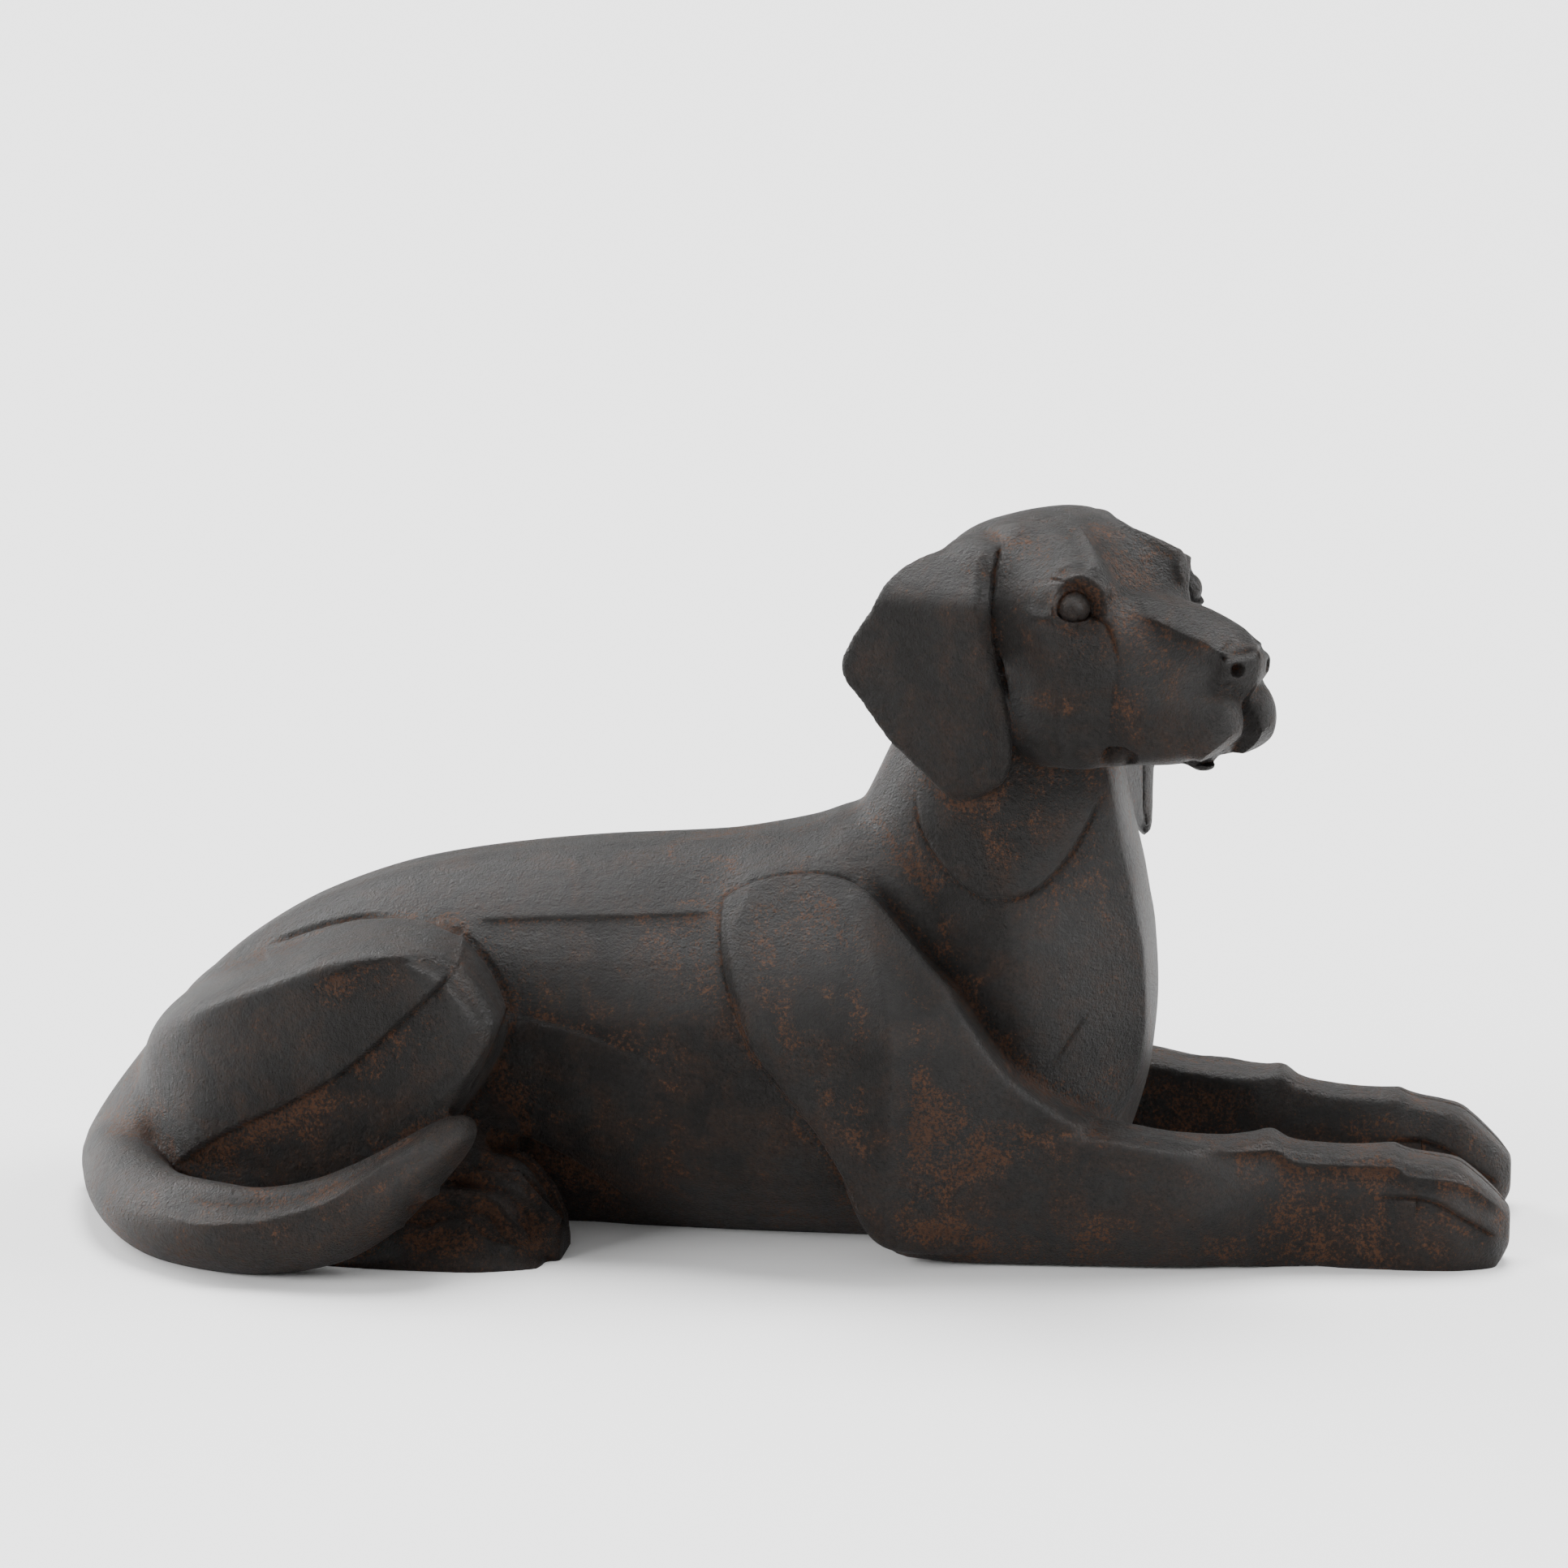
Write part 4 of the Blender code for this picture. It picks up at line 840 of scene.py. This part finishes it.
def carve_head(skin):
    """The eyes, the folds of the face, the ears' front edges, the nostrils and the lips.

    The lines are drawn as the near side is seen, and the far side is its mirror image.
    """
    for sign in (1, -1):
        carve_eye(skin, sign)
    normals = skin.normals()
    forward, side, up = in_head_axes(skin.points).T
    beside = np.abs(side)
    near = np.stack((forward, beside, up), axis=1) @ HEAD_AXES + HEAD_ORIGIN
    flat = in_picture(near)
    turned = normals @ HEAD_AXES.T
    turned[:, 1] *= np.where(side < 0, -1, 1)
    shown = smooth_step(0.05, 0.25, facing_camera(turned @ HEAD_AXES))
    face = shown * (beside > 8) * smooth_step(-90, -80, forward)
    out = face * (brow_lines(flat) + muzzle_lines(flat))
    out += face * (beside > 28) * pocket_line(flat) + (forward > 86) * pad_line(flat)
    out += face * (beside > 45) * ear_lines(flat)
    for sign in (1, -1):
        offset = np.stack((forward, side * sign, up), axis=1) - NOSTRIL_PLACE
        gap = np.hypot(offset @ (0.45, -0.89, 0), offset[:, 2])
        hole = 1 - smooth_step(0.55, 1.2, gap / NOSTRIL_RADIUS)
        out -= NOSTRIL_DEPTH * hole * ((forward > 92) & (side * sign > 0))
    skin.points += normals * out[:, None]
    part_lips(skin)


def brow_lines(flat):
    crest = drawn(((1329, 648), (1338, 661), (1346, 675), (1355, 693), (1363, 711), (1368, 726),
                   (1372, 740)))
    socket = drawn(((1296, 707), (1306, 702), (1315, 698), (1326, 695), (1340, 696)))
    brow_crease = drawn(((1290, 713), (1297, 713), (1305, 714), (1313, 717), (1319, 720)))
    pouch = drawn(((1259, 747), (1264, 753), (1272, 760), (1285, 763), (1299, 759)))
    tear = drawn(((1342, 757), (1352, 761), (1362, 768), (1368, 779), (1373, 795), (1376, 810),
                  (1377, 825)))
    out = carved(
        flat,
        (ledge, crest[::-1], 2.2, 9, (0.15, 0.1)),
        (ledge, socket[::-1], -1.2, 7, (0.2, 0.3)),
        (crease, brow_crease, -1.0, 1.6, (0.3, 0.1)),
        (crease, tear, -1.6, 2.0, (0.01, 0.3)))
    outside = flat[:, 0] < 1301 / PHOTO_PIXELS_PER_UNIT
    return out + outside * ledge(flat, pouch, 1.6, 8, (0.3, 0.02))


def muzzle_lines(flat):
    cheek = drawn(((1366, 776), (1373, 795), (1376, 810), (1376, 830), (1373, 850), (1368, 880),
                   (1366, 900), (1370, 915)))
    bridge = drawn(((1396, 755), (1408, 761), (1430, 770), (1450, 780), (1470, 789), (1485, 795),
                    (1502, 807)))
    wing = drawn(((1494, 833), (1497, 840), (1502, 844), (1508, 845), (1515, 842), (1521, 837)))
    pad_edge = drawn(((1503, 806), (1501, 815), (1500, 824), (1495, 833)))
    return carved(
        flat,
        (ledge, cheek[::-1], 1.6, 20, (0.2, 0.6)),
        (ledge, bridge, 1.5, 12, (0.3, 0.02)),
        (crease, wing, -0.9, 1.8, (0.3, 0.3)),
        (ledge, pad_edge, -1.4, 7, (0.05, 0.2)))


def pocket_line(flat):
    """The pocket at the corner of the mouth."""
    pocket = drawn(((1352, 943), (1357, 933), (1361, 926), (1368, 922), (1380, 922), (1392, 927),
                    (1404, 935)))
    return ledge(flat, pocket[::-1], -7.0, 9, (0.1, 0.3))


def pad_line(flat):
    """The step from the bridge of the nose down to its pad."""
    pad_top = drawn(((1502, 806), (1515, 802.5), (1530, 799.5), (1545, 797.5), (1552, 797)))
    return ledge(flat, pad_top[::-1], -1.8, 9, (0.02, 0.02))


def ear_lines(flat):
    """The gap in front of the ear and the ridge behind it."""
    gap = drawn(((1231, 672), (1229.5, 684), (1226, 700), (1224, 720), (1223.5, 745),
                 (1225, 770), (1228, 795), (1233, 820), (1240, 850), (1248, 880)))
    ridge = drawn(((1225, 668), (1212, 680), (1205, 692), (1200.5, 720), (1201, 740),
                   (1205, 765), (1210, 790), (1222, 830)))
    return carved(flat, (crease, gap, -3.2, 2.4, (0.04, 0.3)), (crease, ridge, 1.2, 4.0, (0.2, 0.3)))


def part_lips(skin):
    """Draws the lips in below the nose and parts them down the middle."""
    forward, side, up = in_head_axes(skin.points).T
    front = 104.5 - 0.031 * np.maximum(-58 - up, 0) ** 2
    over = np.where((up > -94) & (up < -47), np.maximum(forward - front, 0), 0)
    skin.points -= np.outer(over, HEAD_FORWARD)
    half_gap = np.interp(up, (-92, -82, -71, -58, -48, -42), (19, 14.5, 9, 4, 1.5, 1.0))
    depth = np.interp(up, (-96, -90, -80, -72, -58, -48, -42, -38),
                      (0, 7, 12, 11, 6, 2.5, 1.6, 0))
    between = (1 - smooth_step(-0.9, 0.9, np.abs(side) - half_gap)) * (forward > 58)
    skin.points -= np.outer(depth * between, HEAD_FORWARD)


def carve_eye(skin, sign):
    """Shapes one eye as heights above a plane: the ball, its groove, and the lids around it."""
    facing = np.array((EYE_FACING[0], EYE_FACING[1] * sign, EYE_FACING[2]))
    facing /= np.linalg.norm(facing)
    ahead = np.cross(facing, (0, 0, -sign))
    ahead /= np.linalg.norm(ahead)
    over = np.cross(facing, ahead) * sign
    centre = np.array((EYE_PLACE[0], EYE_PLACE[1] * sign, EYE_PLACE[2]))
    offset = in_head_axes(skin.points) - centre
    across, upward, height = offset @ ahead, offset @ over, offset @ facing
    rise = upward + EYE_DROP
    reach = np.hypot(across, rise)
    wide, above, below = EYE_OPENING
    rim = reach / np.hypot(across / wide, rise / np.where(rise > 0, above, below))
    rim = np.where(reach < 0.01, 10.0, rim)
    past = reach - rim
    flat_gap = np.hypot(across, upward)
    ball = np.sqrt(np.maximum(EYE_RADIUS ** 2 - flat_gap ** 2, 0))
    thick = np.interp(np.arctan2(rise, across), (-pi, -1.8, -0.6, 0.3, 1.2, 2.2, pi),
                      (1.2, 2.0, 2.6, 3.6, 4.4, 2.2, 1.2))
    lid = np.clip(1 - np.abs(past - 0.5 * thick) / (0.5 * thick), 0, 1) ** 0.6
    edge_height = np.sqrt(np.maximum(EYE_RADIUS ** 2 - rim ** 2, 9))
    around = edge_height - 0.2 + LID_HEIGHT * lid
    reach_out = np.interp(across, (-4, 8), (8.0, 3.0))
    blend = smooth_step(thick * 0.8, thick + reach_out, past)
    outside = around * (1 - blend) + height * blend
    wanted = np.where(past < 0, ball, outside)
    groove_width, groove_depth = EYE_GROOVE
    wanted -= groove_depth * np.clip(1 - np.abs(past) / groove_width, 0, 1)
    near = (reach < 26) & (height > -6) & (height < 18)
    change = np.where(near & (past < thick + reach_out), wanted - height, 0)
    skin.points += np.outer(change, facing @ HEAD_AXES)


def refine(body, wanted):
    """Halves the edges whose ends are both wanted; wanted takes and returns arrays."""
    skin = Skin(body)
    chosen = wanted(skin.points)
    mesh = bmesh.new()
    mesh.from_mesh(body.data)
    both = chosen[skin.edges].all(axis=1)
    edges = list(itertools.compress(mesh.edges, both))
    bmesh.ops.subdivide_edges(mesh, edges=edges, cuts=1, use_grid_fill=True)
    mesh.to_mesh(body.data)
    mesh.free()


def on_face(points):
    """The face with the ears' front edges, and the toes."""
    forward, side, up = in_head_axes(points).T
    face = (forward > -72) & (np.abs(side) < 76) & (up > -106) & (up < 60) & (points[:, 0] > 120)
    hind_toes = (np.abs(points[:, 0] + 180) < 75) & (np.abs(points[:, 1]) > 100) & (points[:, 2] < 72)
    return face | hind_toes | (points[:, 0] > 372)


def on_features(points):
    """Around the eyes and on the front of the muzzle, where the carving is finest."""
    forward, side, up = in_head_axes(points).T
    eye_gap = np.sqrt((forward - EYE_PLACE[0]) ** 2 + (np.abs(side) - EYE_PLACE[1]) ** 2
                      + (up - EYE_PLACE[2]) ** 2)
    return (eye_gap < 24) | ((forward > 80) & (up < -10))


def build():
    """The whole figure as one fused, carved skin."""
    parts = [trunk(), neck_and_chest(), tail()] + hind_foot() + head()
    for limb in (shoulder(), foreleg(), haunch()):
        parts += [limb, mirrored(limb)]
    parts += [mirrored(part) for part in hind_foot()]
    body = fuse(parts, VOXEL_SIZE, NODE)
    skin = Skin(body)
    skin.relax(3)
    x, y, z = skin.points.T
    nape = np.exp(-(((x - 62) / 26) ** 2 + (y / 70) ** 2 + ((z - 268) / 30) ** 2))
    rump = np.exp(-(((x + 392) / 46) ** 2 + ((np.abs(y) - 50) / 60) ** 2 + ((z - 112) / 52) ** 2))
    forward, side, up = in_head_axes(skin.points).T
    ear_root = np.exp(-(((forward + 84) / 44) ** 2 + ((np.abs(side) - 66) / 16) ** 2
                        + ((up - 22) / 16) ** 2))
    skin.relax(60, np.clip(nape + 1.4 * rump + 0.8 * ear_root, 0, 1))
    skin.write()
    for wanted in (on_face, on_features):
        refine(body, wanted)
        skin = Skin(body)
        skin.relax(2, wanted(skin.points))
        skin.write()
    carve_body(skin)
    carve_toes(skin)
    carve_head(skin)
    skin.write()
    return body


def keep_largest(body):
    """Drops stray shells and sealed hollows that fusing can leave."""
    first, second = Skin(body).edges.T
    group = np.arange(len(body.data.vertices))
    settled = False
    while not settled:
        lowest = group.copy()
        np.minimum.at(lowest, first, group[second])
        np.minimum.at(lowest, second, group[first])
        lowest = lowest[lowest]
        settled = (lowest == group).all()
        group = lowest
    largest = np.bincount(group).argmax()
    mesh = bmesh.new()
    mesh.from_mesh(body.data)
    strays = list(itertools.compress(mesh.verts, group != largest))
    bmesh.ops.delete(mesh, geom=strays, context="VERTS")
    mesh.to_mesh(body.data)
    mesh.free()


def flatten_sole(body):
    """Cuts the figure flat where it rests and stands its box's bottom centre on the origin."""
    mesh = bmesh.new()
    mesh.from_mesh(body.data)
    geometry = mesh.verts[:] + mesh.edges[:] + mesh.faces[:]
    cut = bmesh.ops.bisect_plane(mesh, geom=geometry, dist=1e-6, plane_co=(0, 0, 0),
                                 plane_no=(0, 0, -1), clear_outer=True)
    rim = [item for item in cut["geom_cut"] if isinstance(item, bmesh.types.BMEdge)]
    bmesh.ops.holes_fill(mesh, edges=rim, sides=0)
    bmesh.ops.triangulate(mesh, faces=[face for face in mesh.faces if len(face.verts) > 4])
    bmesh.ops.dissolve_degenerate(mesh, dist=1e-5, edges=mesh.edges[:])
    bmesh.ops.triangulate(mesh, faces=mesh.faces[:])
    bmesh.ops.recalc_face_normals(mesh, faces=mesh.faces[:])
    places = np.array([vert.co for vert in mesh.verts])
    low, high = places.min(axis=0), places.max(axis=0)
    shift = -np.array(((low[0] + high[0]) / 2, (low[1] + high[1]) / 2, low[2]))
    bmesh.ops.translate(mesh, verts=mesh.verts[:], vec=tuple(shift))
    mesh.to_mesh(body.data)
    mesh.free()
    body.data.update()
    return shift


def lighten(body, faces):
    """Decimates the skin to a number of triangles."""
    decimate = body.modifiers.new("Lighten", "DECIMATE")
    decimate.ratio = faces / sum(len(face.vertices) - 2 for face in body.data.polygons)
    decimate.use_collapse_triangulate = True
    apply_modifiers(body)


def stand_on(body, name):
    """Moves the figure so that its box shares its middle and its floor with a node's box."""
    low, high = (np.array(corner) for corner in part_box(name))
    skin = Skin(body)
    own_low, own_high = skin.points.min(axis=0) * UNIT, skin.points.max(axis=0) * UNIT
    shift = (low + high - own_low - own_high) / 2
    shift[2] = low[2] - own_low[2]
    skin.points += shift / UNIT
    skin.write()
    return shift


def mark_recesses(body):
    """Keeps on each vertex how deep it lies between its surroundings, from -1 to 1, for the painted
    shade and the rust in the recesses.
    """
    skin = Skin(body)
    kept = skin.points.copy()
    normals = skin.normals()
    depth = np.zeros(len(kept))
    for rounds, size in ((6, 0.35), (30, 1.2)):
        skin.relax(rounds)
        depth += np.clip(np.sum((skin.points - kept) * normals, axis=1) / size, -1, 1) / 2
    skin.points = kept
    skin.write()
    mark = body.data.attributes.new("recess", "FLOAT", "POINT")
    mark.data.foreach_set("value", depth)


# The patina, with painted shade in the recesses

def noise(tree, place, scale, detail=4.0, rough=0.55, distortion=0.0):
    made = tree.nodes.new("ShaderNodeTexNoise")
    made.inputs["Scale"].default_value = scale
    made.inputs["Detail"].default_value = detail
    made.inputs["Roughness"].default_value = rough
    made.inputs["Distortion"].default_value = distortion
    tree.links.new(place, made.inputs["Vector"])
    return made.outputs["Fac"]


def ramp(tree, value, stops):
    """A colour ramp through (position, colour) stops; a plain number stands for a grey."""
    made = tree.nodes.new("ShaderNodeValToRGB")
    elements = made.color_ramp.elements
    while len(elements) < len(stops):
        elements.new(0.5)
    for element, (position, colour) in zip(elements, stops):
        element.position = position
        element.color = (*colour, 1.0) if isinstance(colour, tuple) else (colour,) * 3 + (1.0,)
    tree.links.new(value, made.inputs["Fac"])
    return made.outputs["Color"]


def mix(tree, share, first, second):
    """first where the share is 0, second where it is 1; each a socket or a colour."""
    made = tree.nodes.new("ShaderNodeMix")
    made.data_type = "RGBA"
    for socket, value in ((made.inputs[0], share), (made.inputs[6], first), (made.inputs[7], second)):
        if isinstance(value, bpy.types.NodeSocket):
            tree.links.new(value, socket)
        elif isinstance(value, tuple):
            socket.default_value = (*value, 1.0)
        else:
            socket.default_value = value
    return made.outputs[2]


def weighted_sum(tree, *terms):
    """The sum of sockets, each times its share."""
    total = None
    for value, share in terms:
        made = tree.nodes.new("ShaderNodeMath")
        made.operation = "MULTIPLY_ADD"
        tree.links.new(value, made.inputs[0])
        made.inputs[1].default_value = share
        made.inputs[2].default_value = 0.0
        if total is not None:
            tree.links.new(total, made.inputs[2])
        total = made.outputs["Value"]
    return total


def patina():
    """Dark cast metal: graphite, browner in patches, speckled with rust where it lies deep or low, and
    darkened in the recesses as painted shade.
    """
    material = bpy.data.materials.new("dark_cast_patina")
    material.use_nodes = True
    tree = material.node_tree
    shader = tree.nodes["Principled BSDF"]
    place = tree.nodes.new("ShaderNodeTexCoord").outputs["Object"]
    recess = tree.nodes.new("ShaderNodeAttribute")
    recess.attribute_name = "recess"
    deep = recess.outputs["Fac"]
    height = tree.nodes.new("ShaderNodeSeparateXYZ")
    tree.links.new(place, height.inputs[0])
    low = ramp(tree, height.outputs["Z"], ((0.0, 1.0), (RUST_HEIGHT, 0.0)))
    clouds = noise(tree, place, 11.0, 6.0, 0.6, 0.4)
    patches = noise(tree, place, 42.0, 8.0, 0.65, 0.6)
    specks = noise(tree, place, 480.0, 4.0, 0.8, 0.2)
    base = mix(tree, ramp(tree, clouds, ((0.38, 0.0), (0.64, 1.0))), DARK_METAL, GREY_METAL)
    browned = weighted_sum(tree, (patches, 1.0), (low, 0.10))
    base = mix(tree, ramp(tree, browned, ((0.45, 0.0), (0.66, 0.85))), base, BROWN_METAL)
    amount = weighted_sum(tree, (patches, 0.40), (specks, 0.60), (deep, 0.07), (low, 0.055))
    rusty = ramp(tree, amount, ((0.545, 0.0), (0.60, 0.85)))
    base = mix(tree, rusty, base, RUST)
    base = mix(tree, ramp(tree, specks, ((0.40, 0.60), (0.53, 0.0))), base, PIT)
    # painted shade: the recesses darkened towards a near-black, by up to 40 per cent
    base = mix(tree, ramp(tree, deep, ((0.0, 1.0), (1.0, 0.6))), RECESS_PAINTED_SHADE, base)
    tree.links.new(base, shader.inputs["Base Color"])
    rough = ramp(tree, weighted_sum(tree, (specks, 1.0), (rusty, 0.3)), ((0.3, 0.40), (0.9, 0.66)))
    tree.links.new(rough, shader.inputs["Roughness"])
    shader.inputs["Metallic"].default_value = 0.0
    shader.inputs["Specular IOR Level"].default_value = 0.32
    wrinkles = noise(tree, place, 210.0, 5.0, 0.72, 0.5)
    grains = noise(tree, place, 640.0, 3.0, 0.7, 0.2)
    bump = tree.nodes.new("ShaderNodeBump")
    bump.inputs["Strength"].default_value = 1.0
    bump.inputs["Distance"].default_value = GRAIN_DEPTH
    tree.links.new(weighted_sum(tree, (wrinkles, 0.8), (grains, 0.55)), bump.inputs["Height"])
    tree.links.new(bump.outputs["Normal"], shader.inputs["Normal"])
    return material


# The surroundings

def floor():
    mesh = bpy.data.meshes.new("floor")
    corners = ((-1, -1), (1, -1), (1, 1), (-1, 1))
    mesh.from_pydata([(x * FLOOR_REACH, y * FLOOR_REACH, 0) for x, y in corners], [], [(0, 1, 2, 3)])
    made = bpy.data.objects.new("floor", mesh)
    bpy.context.scene.collection.objects.link(made)
    material = bpy.data.materials.new("pale_floor")
    material.use_nodes = True
    shader = material.node_tree.nodes["Principled BSDF"]
    shader.inputs["Base Color"].default_value = (FLOOR_SHADE, FLOOR_SHADE, FLOOR_SHADE, 1.0)
    shader.inputs["Roughness"].default_value = 0.9
    shader.inputs["Specular IOR Level"].default_value = 0.1
    mesh.materials.append(material)


def sun(name, azimuth, elevation, strength, spread):
    """A soft light from a direction, given as a camera's azimuth and elevation are."""
    light = bpy.data.lights.new(name, "SUN")
    light.energy = strength
    light.angle = radians(spread)
    facing_back_to(direction(radians(azimuth), radians(elevation)), name, light)


def facing_back_to(back, name, data):
    """A camera or light that looks at the figure from a direction."""
    made = bpy.data.objects.new(name, data)
    bpy.context.scene.collection.objects.link(made)
    made.rotation_euler = back.to_track_quat("Z", "Y").to_euler()
    return made


def direction(azimuth, elevation):
    """The way from the figure to a camera or a light; azimuth 0 is the figure's right side."""
    return Vector((sin(azimuth) * cos(elevation), -cos(azimuth) * cos(elevation), sin(elevation)))


def surroundings():
    world = bpy.data.worlds.new("studio")
    world.use_nodes = True
    background = world.node_tree.nodes["Background"]
    background.inputs["Color"].default_value = (1.0, 1.0, 1.0, 1.0)
    background.inputs["Strength"].default_value = SKY_STRENGTH
    bpy.context.scene.world = world
    for light in LIGHTS:
        sun(*light)


def camera(aim):
    data = bpy.data.cameras.new("camera")
    data.sensor_width = SENSOR_WIDTH
    data.lens = SENSOR_WIDTH * CAMERA_FOCUS / PHOTO_SIZE
    back = direction(CAMERA_AZIMUTH, CAMERA_ELEVATION)
    made = facing_back_to(back, "camera", data)
    made.location = Vector(aim) + back * CAMERA_DISTANCE
    bpy.context.scene.camera = made


# The scene

body = build()
lighten(body, FACE_COUNT)
shift = flatten_sole(body)
keep_largest(body)
shift += stand_on(body, NODE)
mark_recesses(body)
body.data.materials.clear()
body.data.materials.append(patina())
for face in body.data.polygons:
    face.use_smooth = True
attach(body, "root")
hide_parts(NODE)
floor()
surroundings()
camera(np.array(CAMERA_AIM) + shift)
